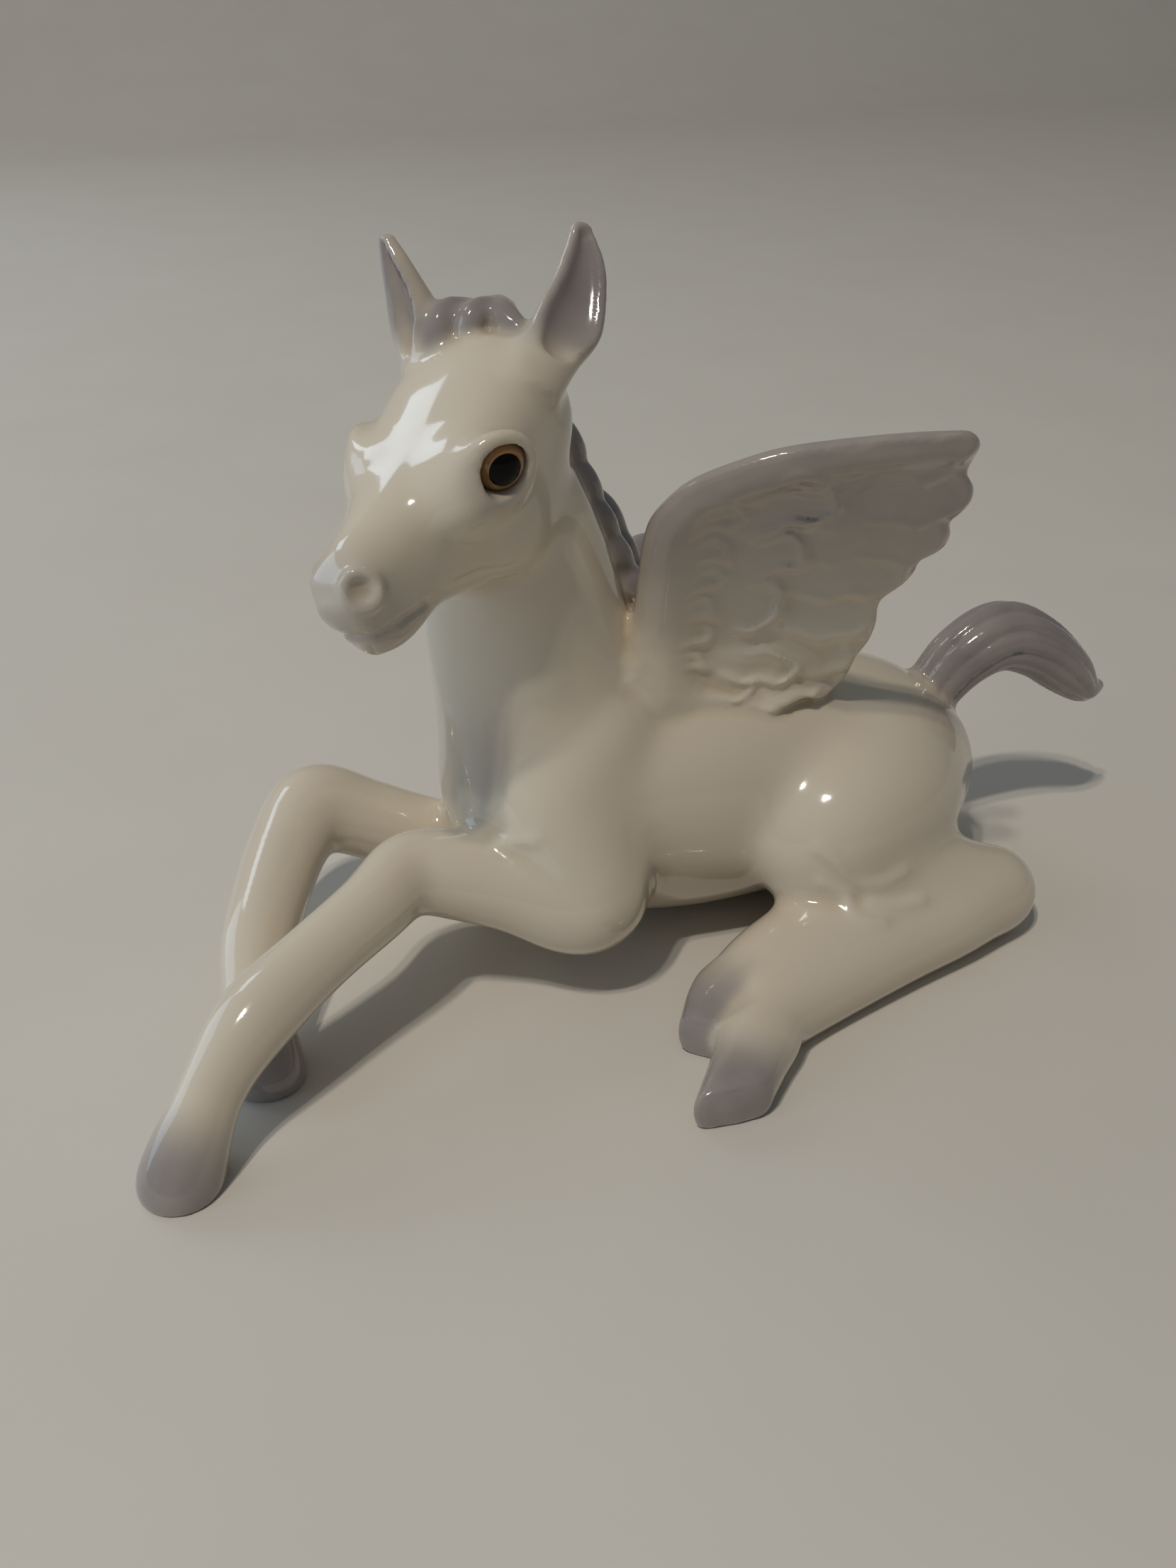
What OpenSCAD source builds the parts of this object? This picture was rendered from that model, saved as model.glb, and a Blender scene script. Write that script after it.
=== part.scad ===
// Lying winged foal: glazed earthenware figurine, slip cast in pieces, luted together and fired.
// The foal faces -X, its left flank is -Y and the table is z = 0. Millimetres.

/* [Casting] */
// Wall of the hollow castings
wall = 4.5; // [3.5:0.5:5.5]
// Drain hole under the belly
drain_d = 12; // [8:1:16]
// Vents under the neck and the legs
vent_d = 7; // [5:0.5:9]

/* [Torso] */
// Length from the chest to the back of the rump
torso_l = 172; // [166:1:178]
// Width across the barrel
torso_w = 76; // [72:1:80]
// Depth of the barrel from back to belly
torso_h = 74; // [71:1:78]
// Height of the belly above the table
belly_z = 12; // [10:1:14]
// Fall of the back from withers to croup
back_fall = 18; // [14:1:21]

/* [Head and neck] */
// Depth of the neck from throat to crest
neck_d = 50; // [46:1:54]
// Width of the neck
neck_w = 42; // [38:1:46]
// Height of the eyes above the table
eye_z = 155; // [150:1:160]
// Half the width over the eyes
eye_reach = 24; // [23:0.5:25]
// Set of both eyes towards the left cheek
eye_set = 1.8; // [1:0.2:2.4]
// Length of the head in front of the eyes
face_l = 43; // [40:1:46]
// Length of the head behind the eyes
poll_l = 45; // [42:1:48]
// Width of the forehead
brow_w = 43; // [40:1:46]
// Depth from the forehead to the jaw
jaw_d = 45; // [42:1:48]
// Width of the muzzle
muzzle_w = 24; // [22:1:27]
// Turn of the head to its left
head_turn = 41; // [36:1:46]
// Nose-down angle of the head
head_nod = 34; // [30:1:38]
// Tilt of the head to its right
head_tilt = 12; // [8:1:16]

/* [Ears] */
// Left ear tip seen from the eye line: forward, left, up
left_ear_tip = [-69, 17, 9]; // [-80:1:40]
// Right ear tip seen from the eye line: forward, left, up
right_ear_tip = [-48, -20, 29]; // [-80:1:40]
// Width of an ear
ear_w = 19; // [17:0.5:21]
// Thickness of the ear shell
ear_t = 2.6; // [2:0.2:3.2]

/* [Mane and forelock] */
// Thickness of the mane ridge
mane_t = 9; // [7:0.5:11]
// Height of the mane above the crest
mane_h = 6; // [4:0.5:8]
// Width of the forelock
forelock_w = 19; // [17:0.5:21]

/* [Wings] */
// Reach of a wing from root to leading edge
wing_h = 65; // [61:1:69]
// Reach of a wing from leading edge root to tip
wing_l = 80; // [75:1:85]
// Thickness of the feathers
feather_t = 5; // [4:0.5:6]
// Thickness of the leading edge
edge_t = 9; // [8:0.5:11]
// Outward lean of the raised left wing
left_lean = 15; // [10:1:20]
// Outward bow of the raised left wing at its leading edge
left_bow = 9; // [7:0.5:11]
// Outward lean of the lowered right wing
right_lean = 30; // [26:1:34]
// Downward swing of the right wing
right_swing = 38; // [34:1:42]

/* [Legs] */
// Thickness of the cannon bones
cannon_d = 20; // [18.5:0.5:21]
// Thickness of the upper forelegs
forearm_d = 28; // [25:0.5:30]
// Thickness of the hoofs
hoof_d = 20; // [18:0.5:22]
// Left front knee
left_knee = [-57, -21, 42]; // [-90:1:60]
// Left front hoof
left_hoof = [-136, -77, 6]; // [-140:1:60]
// Right front knee
right_knee = [-77, 26, 40]; // [-90:1:60]
// Right front hoof
right_hoof = [-106, -50, 6]; // [-110:1:60]
// Left hock
left_hock = [113, -49, 12]; // [-60:1:130]
// Left hind hoof
left_hind_hoof = [2, -99, 7]; // [-110:1:20]
// Right hock
right_hock = [104, -27, 12]; // [-40:1:120]
// Right hind hoof
right_hind_hoof = [4, -72, 6]; // [-80:1:20]
// Thickness of the left thigh
thigh_d = 52; // [48:1:56]

/* [Tail] */
// Reach of the tail behind the rump
tail_reach = 67; // [62:1:72]
// Height of the tail arch
tail_top = 72; // [69:1:75]
// Thickness of the tail
tail_d = 21; // [19:0.5:23]

/* [Eyes] */
// Diameter of the glass eyes
eye_d = 12; // [11:0.5:13]
// Thickness of the glass eyes
eye_t = 5; // [4.5:0.5:6]
// Diameter of the pupils
pupil_d = 8; // [7:0.5:9]
// Thickness of the pupil enamel
pupil_t = 0.6; // [0.4:0.1:0.8]
// Play between a glass eye and its socket
eye_play = 0.2; // [0.1:0.05:0.3]

/* [Hidden] */
chest_x = -45;
figure_shift = [-18.15, 25, 0];
sides = 16;

// Vector helpers
function unit(v) = v / norm(v);
function mix(p, q, f) = p + (q - p) * f;
function at(s) = [s[0], s[1], s[2]];
function spline(a, b, c, d, f) =
    0.5 * (2 * b + (c - a) * f + (2 * a - 5 * b + 4 * c - d) * f * f
    + (3 * b - a - 3 * c + d) * f * f * f);

// A station is [x, y, z, half width, height above, depth below, roundness]
function smooth(st, k) =
    let (m = len(st))
    [for (i = [0 : m - 2])
        for (j = [0 : k - 1])
            spline(st[max(i - 1, 0)], st[i], st[i + 1], st[min(i + 2, m - 1)], j / k),
    st[m - 1]];
function round_station(p, r) = [p[0], p[1], p[2], r, r, r, 1];
function thinner(st, t) =
    [for (s = st) [s[0], s[1], s[2], max(s[3] - t, 1), max(s[4] - t, 1), max(s[5] - t, 1), 1]];
function heading(st, i) = unit(at(st[min(i + 1, len(st) - 1)]) - at(st[max(i - 1, 0)]));
function bow(v, e) = sign(v) * pow(abs(v), e);
function ring(c, dir, up, w, a, b, n, e) =
    let (side = unit(cross(dir, up)), top = cross(side, dir))
    [for (i = [0 : n - 1])
        let (q = 360 * i / n)
        c + side * w * bow(cos(q), e) + top * (sin(q) > 0 ? a : b) * bow(sin(q), e)];
function dome_angles(d) = d > 0 ? [25, 50, 72] : [];

// Closed skin through a row of stations, with domed or flat ends
module loft(stations, k = 3, n = sides, up = [0, 0, 1], d0 = 0, d1 = 0) {
    st = smooth(stations, k);
    m = len(st);
    s0 = st[0];
    s1 = st[m - 1];
    dir0 = heading(st, 0);
    dir1 = heading(st, m - 1);
    first = [for (q = dome_angles(d0))
        ring(at(s0) - dir0 * d0 * sin(q), dir0, up, s0[3] * cos(q), s0[4] * cos(q), s0[5] * cos(q), n,
            s0[6])];
    last = [for (q = dome_angles(d1))
        ring(at(s1) + dir1 * d1 * sin(q), dir1, up, s1[3] * cos(q), s1[4] * cos(q), s1[5] * cos(q), n,
            s1[6])];
    mid = [for (i = [0 : m - 1])
        ring(at(st[i]), heading(st, i), up, st[i][3], st[i][4], st[i][5], n, st[i][6])];
    rows = concat([for (i = [len(first) - 1 : -1 : 0]) first[i]], mid, last);
    total = len(rows);
    ends = [at(s0) - dir0 * d0, at(s1) + dir1 * d1];
    pts = concat([for (r = rows) for (p = r) p], ends);
    walls = [for (r = [0 : total - 2])
        for (i = [0 : n - 1])
            let (j = (i + 1) % n)
            each [[r * n + i, r * n + j, (r + 1) * n + j], [r * n + i, (r + 1) * n + j, (r + 1) * n + i]]];
    cap0 = [for (i = [0 : n - 1]) [total * n, (i + 1) % n, i]];
    cap1 = [for (i = [0 : n - 1])
        [total * n + 1, (total - 1) * n + i, (total - 1) * n + (i + 1) % n]];
    polyhedron(points = pts, faces = concat(walls, cap0, cap1), convexity = 6);
}

// Everything below the table is trimmed away so the figure rests flat
module below_table() {
    translate([-300, -300, -60])
        cube([600, 600, 60]);
}

// Torso stations: share along the length, width, height above, depth below, share of the fall
torso_rows = [[0.06, 0.6, 0.6, 0.62, 0], [0.13, 0.8, 0.82, 0.8, 0], [0.24, 0.96, 0.98, 0.95, 0],
    [0.4, 1, 1, 1, 0.1], [0.56, 1, 0.97, 0.96, 0.35], [0.72, 1, 0.93, 0.9, 0.65],
    [0.86, 0.92, 0.87, 0.84, 0.95], [0.95, 0.66, 0.64, 0.64, 1]];
torso_st = [for (r = torso_rows) [chest_x + r[0] * torso_l, 0, belly_z + torso_h / 2 - back_fall * r[4],
    r[1] * torso_w / 2, r[2] * torso_h / 2, r[3] * torso_h / 2, 1]];
chest_dome = torso_l * 0.05;
rump_dome = torso_l * 0.05;
haunch_r = 24;
sink = 1;
haunch_st = [round_station([chest_x + 0.82 * torso_l, torso_w * 0.2, haunch_r - sink], haunch_r),
    round_station([chest_x + 0.66 * torso_l, torso_w * 0.28, haunch_r * 0.88 - sink], haunch_r * 0.88),
    round_station([chest_x + 0.54 * torso_l, torso_w * 0.28, haunch_r * 0.67 - sink], haunch_r * 0.67)];

module torso_skin() {
    loft(torso_st, k = 3, n = 22, d0 = chest_dome, d1 = rump_dome);
    loft(haunch_st, k = 3, d0 = 20, d1 = 11);
}

// Head frame: origin between the eyes, forward to the nose, left, up through the brow
eye_mid = [-50, -22.5, eye_z];
fwd0 = [-cos(head_nod) * cos(head_turn), -cos(head_nod) * sin(head_turn), -sin(head_nod)];
up0 = [-sin(head_nod) * cos(head_turn), -sin(head_nod) * sin(head_turn), cos(head_nod)];
left0 = [sin(head_turn), -cos(head_turn), 0];
h_left = left0 * cos(head_tilt) + up0 * sin(head_tilt);
h_up = up0 * cos(head_tilt) - left0 * sin(head_tilt);
function head_at(a, c, b) = eye_mid + fwd0 * a + h_left * c + h_up * b;
function head_station(a, b, w, up, dn, e) = concat(head_at(a, 0, b), [w, up, dn, e]);

head_st = [head_station(-poll_l * 0.92, -6, brow_w * 0.32, 10, 15, 0.9),
    head_station(-poll_l * 0.76, -5, brow_w * 0.45, 14.5, 23, 0.8),
    head_station(-poll_l * 0.42, -5, brow_w * 0.51, 15.5, jaw_d * 0.62, 0.74),
    head_station(-poll_l * 0.05, -5, brow_w * 0.5, 14.5, jaw_d * 0.66, 0.78),
    head_station(face_l * 0.23, -3, brow_w * 0.38, 12.5, jaw_d * 0.6, 0.86),
    head_station(face_l * 0.47, -1, muzzle_w * 0.5, 11.5, jaw_d * 0.44, 0.92),
    head_station(face_l * 0.7, 1, muzzle_w * 0.45, 10.5, 17, 1),
    head_station(face_l * 0.84, 0, muzzle_w * 0.43, 9.5, 13, 1),
    head_station(face_l * 0.93, -1, muzzle_w * 0.35, 7, 9.5, 1)];
neck_st = [[-15, 0, 54, neck_w * 0.74, neck_d * 0.55, neck_d * 0.7, 1],
    [-17, -1, 82, neck_w * 0.63, neck_d * 0.56, neck_d * 0.6, 1],
    [-20, -3, 105, neck_w * 0.53, neck_d * 0.5, neck_d * 0.5, 1],
    [-22, -5, 122, neck_w * 0.48, neck_d * 0.45, neck_d * 0.45, 1],
    [-24, -7, 138, neck_w * 0.43, neck_d * 0.4, neck_d * 0.38, 1],
    concat(head_at(-poll_l * 0.52, 0, -14), [neck_w * 0.38, neck_d * 0.34, neck_d * 0.34, 1])];
orbit_r = 8.5;
module lump(p, size) {
    translate(p)
        multmatrix([[fwd0[0], h_left[0], h_up[0], 0], [fwd0[1], h_left[1], h_up[1], 0],
            [fwd0[2], h_left[2], h_up[2], 0], [0, 0, 0, 1]])
            scale(size)
                sphere(1, $fn = 14);
}

module head_and_neck_skin() {
    loft(head_st, k = 2, n = 20, up = h_up, d0 = poll_l * 0.06, d1 = face_l * 0.08);
    loft(neck_st, k = 3, n = 20, up = [-1, 0, 0], d1 = 8);
    for (s = [-1, 1]) {
        lump(head_at(-3, s * (eye_reach - orbit_r) + eye_set, -1), [orbit_r * 1.35, orbit_r, orbit_r * 1.05]);
        lump(head_at(-8, s * brow_w * 0.24, -23), [15, 7, 11.5]);
        lump(head_at(face_l * 0.79, s * muzzle_w * 0.22, 5.5), [5.5, 4.5, 4.5]);
    }
    lump(head_at(face_l * 0.82, 0, -9), [7, 7, 5]);
}

module head_and_neck_cavity() {
    loft(thinner([for (i = [0 : 4]) neck_st[i]], wall), k = 2, n = 12, up = [-1, 0, 0]);
    loft(thinner([for (i = [1 : 4]) head_st[i]], wall + 3.5), k = 2, n = 12, up = h_up, d0 = 2, d1 = 3);
    translate(head_at(-poll_l * 0.5, 0, -14))
        sphere(8, $fn = 16);
}

// Glass eyes look sideways and a little forward
eye_out = 59;
function eye_dir(s) = fwd0 * cos(eye_out) + h_left * s * sin(eye_out);
function eye_seat(s) = head_at(-2, s * (eye_reach - 0.4) + eye_set, 0) - eye_dir(s) * eye_t;
dome_r = (pow(eye_d / 2, 2) + pow(eye_t - 2, 2)) / (2 * (eye_t - 2));

module along(p, dir) {
    translate(p)
        rotate([0, acos(dir[2]), atan2(dir[1], dir[0])])
            children();
}
module eye_socket(s) {
    along(eye_seat(s), eye_dir(s))
        cylinder(h = 20, d = eye_d + 2 * eye_play, $fn = 48);
}
// The pupil sits in the front of the dome, so its own face carries the dome on
pupil_seat = eye_t - dome_r + sqrt(pow(dome_r, 2) - pow(pupil_d / 2, 2)) - pupil_t;
module eye_dome() {
    intersection() {
        cylinder(h = eye_t, d = eye_d);
        translate([0, 0, eye_t - dome_r])
            sphere(dome_r);
    }
}
module pupil_core() {
    translate([0, 0, pupil_seat])
        cylinder(h = eye_t, d = pupil_d);
}
module eye_glass(s) {
    along(eye_seat(s), eye_dir(s))
        difference() {
            eye_dome();
            pupil_core();
        }
}
module pupil(s) {
    along(eye_seat(s), eye_dir(s))
        intersection() {
            eye_dome();
            pupil_core();
        }
}

// Ears: cupped shells, open to the side and the front
ear_rows = [[-0.25, 0.34, 0.34], [0, 0.42, 0.42], [0.25, 0.5, 0.4], [0.5, 0.49, 0.34], [0.75, 0.36, 0.25],
    [0.95, 0.15, 0.14]];
module ear_skin(s, tip) {
    root = head_at(-36, s > 0 ? 17.5 : -15.5, s > 0 ? 2 : 7);
    end = head_at(tip[0], tip[1], tip[2]);
    open = unit(h_left * s + fwd0 * 0.7);
    st = [for (r = ear_rows) concat(mix(root, end, r[0]), [r[1] * ear_w, r[2] * ear_w, r[2] * ear_w, 1])];
    difference() {
        loft(st, k = 2, n = 14, up = open, d1 = 1.5);
        loft([for (r = [0.1, 0.3, 0.55, 0.85])
            let (f = r < 0.5 ? 0.43 : 0.43 - (r - 0.5) * 0.6)
            concat(mix(root, end, r) + open * ear_t * 1.6, [max(f * ear_w - ear_t * 0.6, 1), ear_w,
                max(f * ear_w * 0.55, 1), 1])], k = 2, n = 12, up = open, d0 = 3, d1 = 2);
    }
}

// Forelock: overlapping tufts between the ears
tufts = [[-36, -0.34, 8.5, 6], [-40, -0.1, 9, 6.5], [-34, 0.05, 9, 5.5], [-42, 0.2, 7.5, 6],
    [-37, 0.36, 6.5, 5.5], [-44, 0, 6, 6.5]];
module forelock_skin() {
    for (t = tufts)
        hull() {
            translate(head_at(t[0], t[1] * forelock_w, t[2]))
                sphere(t[3], $fn = 12);
            translate(head_at(t[0] + 6, t[1] * forelock_w * 1.2, t[2] - 4))
                sphere(t[3] * 0.6, $fn = 12);
        }
}

// Mane: wavy ridge on the crest from the poll to the withers
mane_line = [head_at(-poll_l * 0.86, 2, -8), [-10, -2, 160], [-6.5, -1, 148], [-3, 0, 137], [0, 0, 127],
    [3, 0, 117], [6.5, 0, 108], [9.5, 0, 99], [14, 0, 89]];
mane_wave = [0.4, 0.85, 1, 0.75, 1.1, 0.8, 1.15, 0.8, 0.9];
module mane_skin() {
    loft([for (i = [0 : len(mane_line) - 1])
        concat(mane_line[i], [mane_t / 2, mane_h * mane_wave[i], 9, 1])], k = 2, n = 14, up = [1, 0, 0],
        d0 = 3, d1 = 3);
}

// A wing lies in its own plane: back along the figure, up to the leading edge, out from the body.
// The left wing bows out above and below its middle, drawn towards a point in front of it.
bow_mid = 14;
bow_above = 56;
bow_below = 38;
bow_foot = 0.85;
bow_point = [-63, 264, 288];
function bow_out(v) =
    left_bow * (v > bow_mid ? pow((v - bow_mid) / bow_above, 2)
    : bow_foot * pow((bow_mid - v) / bow_below, 2));
function bow_slope(v) =
    2 * left_bow * (v > bow_mid ? (v - bow_mid) / pow(bow_above, 2)
    : bow_foot * (v - bow_mid) / pow(bow_below, 2));
function bowed(u, v, f) =
    let (m = f * bow_out(v), k = m / bow_point[2])
    [mix(u, bow_point[0], k), mix(v, bow_point[1], k), m];
edge_rows = [[0.08, -0.14], [0.085, 0.3], [0.1, 0.52], [0.15, 0.71], [0.24, 0.81], [0.45, 0.895],
    [0.7, 0.95], [0.97, 0.975]];
primary_rows = [[0.12, 0.72, 1.02, 0.93, 0.075], [0.12, 0.62, 1.06, 0.77, 0.105],
    [0.1, 0.5, 1.0, 0.52, 0.12], [0.08, 0.38, 0.9, 0.3, 0.12], [0.07, 0.24, 0.83, 0.06, 0.125],
    [0.06, 0.1, 0.76, -0.16, 0.115], [0.06, 0, 0.66, -0.3, 0.11], [0.1, -0.06, 0.5, -0.36, 0.1]];
covert_rows = [[0.1, 0.64, 0.56, 0.74, 0.12], [0.1, 0.48, 0.54, 0.5, 0.13], [0.08, 0.3, 0.5, 0.26, 0.13],
    [0.07, 0.1, 0.42, 0.0, 0.13]];
vane_rows = [[-0.27, 0.16, 0.64], [-0.06, 0.06, 0.77], [0.2, 0.06, 0.83], [0.42, 0.06, 0.93],
    [0.64, 0.11, 1], [0.8, 0.18, 1], [0.9, 0.42, 1], [0.96, 0.9, 1]];
module wing_spot(u, v, w, t, lift, f) {
    translate(bowed(u * wing_l, v * wing_h, f))
        rotate([f * atan(bow_slope(v * wing_h)), 0, 0])
            translate([0, 0, lift])
                scale([w, w, t])
                    sphere(1, $fn = 8);
}
module feather(r, t, lift, f) {
    w = r[4] * wing_l;
    hull() {
        wing_spot(r[0], r[1], w * 0.7, t, lift, f);
        wing_spot(mix(r[0], r[2], 0.7), mix(r[1], r[3], 0.7), w, t, lift, f);
        wing_spot(mix(r[0], r[2], 0.94), mix(r[1], r[3], 0.94), w * 0.62, t * 0.8, lift, f);
    }
}
module edge_spot(i, f) {
    g = 1 - i / len(edge_rows);
    wing_spot(edge_rows[i][0], edge_rows[i][1], edge_t * (0.3 + 0.55 * g), edge_t * (0.27 + 0.28 * g), 0, f);
}
module vane_row(r, f) {
    t = feather_t * 0.3;
    for (u = [r[1], r[2]])
        wing_spot(u, r[0], t, t, 0, f);
}
module wing_flat(f) {
    for (i = [0 : len(edge_rows) - 2])
        hull() {
            edge_spot(i, f);
            edge_spot(i + 1, f);
        }
    for (i = [0 : len(vane_rows) - 2])
        hull() {
            vane_row(vane_rows[i], f);
            vane_row(vane_rows[i + 1], f);
        }
    for (r = primary_rows)
        feather(r, feather_t / 2, 0, f);
    for (r = covert_rows)
        feather(r, feather_t / 2, 0.9, f);
}
left_wing_root = [11, -12, belly_z + torso_h + 4];
right_wing_root = [5, 20, belly_z + torso_h - 20];
module left_wing_skin() {
    translate(left_wing_root)
        rotate([0, 0, -12])
            rotate([90 + left_lean, 0, 0])
                wing_flat(1);
}
module right_wing_skin() {
    translate(right_wing_root)
        rotate([0, 0, 20])
            mirror([0, 1, 0])
                rotate([90 + right_lean, 0, 0])
                    rotate([0, 0, -right_swing])
                        wing_flat(0);
}

// Legs: stations run from inside the body to the hoof
cr = cannon_d / 2;
fr = forearm_d / 2;
hr = hoof_d / 2;
left_elbow = [-15.5, -33, 33];
right_elbow = [-24, 19, fr * 0.96 - sink];
function shin(knee, hoof, f, sag) = mix(knee, hoof, f) + [0, 0, sag];
left_fore_st = [round_station([-6, -20, 46], fr * 1.15), round_station(left_elbow, fr * 1.22),
    round_station(mix(left_elbow, left_knee, 0.42), fr * 0.96),
    round_station(mix(left_elbow, left_knee, 0.8), fr * 0.82),
    round_station(left_knee + [-3, 0, 0], cr * 1.03),
    round_station(shin(left_knee, left_hoof, 0.2, 6), cr),
    round_station(shin(left_knee, left_hoof, 0.4, 9), cr * 0.93),
    round_station(shin(left_knee, left_hoof, 0.62, 10), cr * 0.93),
    round_station(shin(left_knee, left_hoof, 0.75, 7), cr * 0.93),
    round_station(shin(left_knee, left_hoof, 0.84, 4), cr * 0.8),
    round_station(shin(left_knee, left_hoof, 0.93, 2), hr * 0.93), round_station(left_hoof, hr * 0.88)];
right_fore_st = [round_station([-8, 18, 34], fr), round_station(right_elbow, fr * 0.96),
    round_station(mix(right_elbow, right_knee, 0.35) + [0, -3, 2], fr * 0.84),
    round_station(mix(right_elbow, right_knee, 0.75), fr * 0.8), round_station(right_knee, cr * 1.02),
    round_station(mix(right_knee, right_hoof, 0.17) + [-4, 3, 0], cr * 0.95),
    round_station(mix(right_knee, right_hoof, 0.4) + [-6, 3, 3], cr * 0.95),
    round_station(mix(right_knee, right_hoof, 0.62) + [-7, 4, 5], cr),
    round_station(mix(right_knee, right_hoof, 0.8) + [-7, 2, 4], cr),
    round_station(mix(right_knee, right_hoof, 0.92) + [-2, 0, 2], hr * 0.85),
    round_station(right_hoof, hr * 0.84)];
stifle = [52, -38, 37];
thigh_st = [round_station([100, -12, 40], thigh_d * 0.46), round_station([82, -27, 41], thigh_d * 0.5),
    round_station([65, -35, 40], thigh_d * 0.45), round_station(stifle, thigh_d * 0.34)];
gaskin_st = [round_station(stifle + [2, -1, -4], 16),
    round_station(mix(stifle, left_hock, 0.4) + [0, 0, -2], 15.5),
    round_station(mix(stifle, left_hock, 0.75), 13.5), round_station(left_hock, 12.5)];
left_cannon_st = [round_station(left_hock, 12.5), round_station(mix(left_hock, left_hind_hoof, 0.15), 11.3),
    round_station(mix(left_hock, left_hind_hoof, 0.35) + [0, 3, 0], cr),
    round_station(mix(left_hock, left_hind_hoof, 0.6) + [0, 4, 0], cr * 1.05),
    round_station(mix(left_hock, left_hind_hoof, 0.76) + [0, 3, 1], cr * 1.15),
    round_station(mix(left_hock, left_hind_hoof, 0.87) + [0, 1, 2], cr * 0.9),
    round_station(mix(left_hock, left_hind_hoof, 0.95) + [0, 0, 1], hr * 1.12),
    round_station(left_hind_hoof, hr * 0.98)];
right_cannon_st = [round_station([94, -6, 17], 12), round_station(right_hock, 12.5),
    round_station(mix(right_hock, right_hind_hoof, 0.22) + [0, 0, 1], 12),
    round_station(mix(right_hock, right_hind_hoof, 0.45) + [0, 0, 2], cr * 1.08),
    round_station(mix(right_hock, right_hind_hoof, 0.7) + [0, 0, 3], cr * 1.08),
    round_station(mix(right_hock, right_hind_hoof, 0.88) + [0, 0, 2], cr * 0.92),
    round_station(right_hind_hoof, hr * 0.78)];

// Bores left in the legs when the slip is poured out, open at the top
module leg_bore(st, last) {
    loft(thinner([for (i = [0 : last]) st[i]], wall), k = 2, n = 10, d1 = 2);
}
// Vent from the middle of the torso to the bore of a leg
module vent(p, q) {
    along(p, unit(q - p))
        cylinder(h = norm(q - p), d = vent_d, $fn = 12);
}
module left_foreleg_skin() {
    loft(left_fore_st, k = 2, d1 = 5);
}
module right_foreleg_skin() {
    loft(right_fore_st, k = 2, d1 = 5);
}
module left_hind_leg_skin() {
    loft(thigh_st, n = 18, d0 = 10, d1 = 12);
    loft(gaskin_st, k = 2, d0 = 9, d1 = 9);
    loft(left_cannon_st, k = 2, d0 = 9, d1 = 6);
}
module right_hind_leg_skin() {
    loft(right_cannon_st, d0 = 6, d1 = 5);
}

// Tail: arched, carried straight behind
tail_root = [chest_x + 0.9 * torso_l, 0, 48];
tail_st = [round_station(tail_root, tail_d * 0.4), round_station(tail_root + [7, 0, 9], tail_d * 0.43),
    round_station([tail_root[0] + 0.24 * tail_reach, -0.5, tail_top - 5], tail_d * 0.49),
    round_station([tail_root[0] + 0.43 * tail_reach, -1, tail_top], tail_d * 0.52),
    round_station([tail_root[0] + 0.62 * tail_reach, -2, tail_top - 5], tail_d * 0.47),
    round_station([tail_root[0] + 0.81 * tail_reach, -3, tail_top - 15], tail_d * 0.42),
    round_station([tail_root[0] + 0.93 * tail_reach, -4, tail_top - 23], tail_d * 0.25),
    round_station([tail_root[0] + 1.02 * tail_reach, -4, tail_top - 24], tail_d * 0.1)];
module tail_skin() {
    loft(tail_st, up = [0, 1, 0], d0 = 5, d1 = 1.5);
}

module torso() {
    color("#E4DED4")
        difference() {
            resize([0, 0, 0])
                difference() {
                    torso_skin();
                    loft(thinner([for (i = [1 : 6]) torso_st[i]], wall), k = 2, n = 16, d0 = 4, d1 = 4);
                    translate([20, 0, -5])
                        cylinder(h = 40, d = drain_d * 0.8, $fn = 16);
                    translate([-17, 0, 60])
                        cylinder(h = 60, d = vent_d * 2, $fn = 16);
                    vent([-6, -2, 48], mix(at(left_fore_st[0]), at(left_fore_st[1]), 0.6));
                    vent([-6, 2, 40], mix(at(right_fore_st[0]), at(right_fore_st[1]), 0.6));
                    vent([82, 0, 42], at(thigh_st[1]));
                    vent([86, 0, 30], at(right_cannon_st[0]));
                }
            translate([20, 0, -5])
                cylinder(h = 40, d = drain_d);
            below_table();
        }
}
module head_and_neck() {
    color("#E4DED4")
        resize([0, 0, 0])
            difference() {
                head_and_neck_skin();
                torso_skin();
                head_and_neck_cavity();
                eye_socket(-1);
                eye_socket(1);
            }
}
module left_ear() {
    color("#C9BFC0")
        resize([0, 0, 0])
            difference() {
                ear_skin(1, left_ear_tip);
                head_and_neck_skin();
            }
}
module right_ear() {
    color("#C9BFC0")
        resize([0, 0, 0])
            difference() {
                ear_skin(-1, right_ear_tip);
                head_and_neck_skin();
            }
}
module forelock() {
    color("#B9AFAD")
        resize([0, 0, 0])
            difference() {
                forelock_skin();
                head_and_neck_skin();
                ear_skin(1, left_ear_tip);
                ear_skin(-1, right_ear_tip);
            }
}
module mane() {
    color("#B9AFAD")
        resize([0, 0, 0])
            difference() {
                mane_skin();
                head_and_neck_skin();
                torso_skin();
                forelock_skin();
            }
}
module left_wing() {
    color("#CDC3BF")
        resize([0, 0, 0])
            difference() {
                left_wing_skin();
                torso_skin();
                head_and_neck_skin();
                mane_skin();
            }
}
module right_wing() {
    color("#CDC3BF")
        resize([0, 0, 0])
            difference() {
                right_wing_skin();
                torso_skin();
                head_and_neck_skin();
                mane_skin();
            }
}
module left_foreleg() {
    color("#E4DED4")
        difference() {
            resize([0, 0, 0])
                difference() {
                    left_foreleg_skin();
                    torso_skin();
                    head_and_neck_skin();
                    leg_bore(left_fore_st, 7);
                }
            below_table();
        }
}
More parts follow.
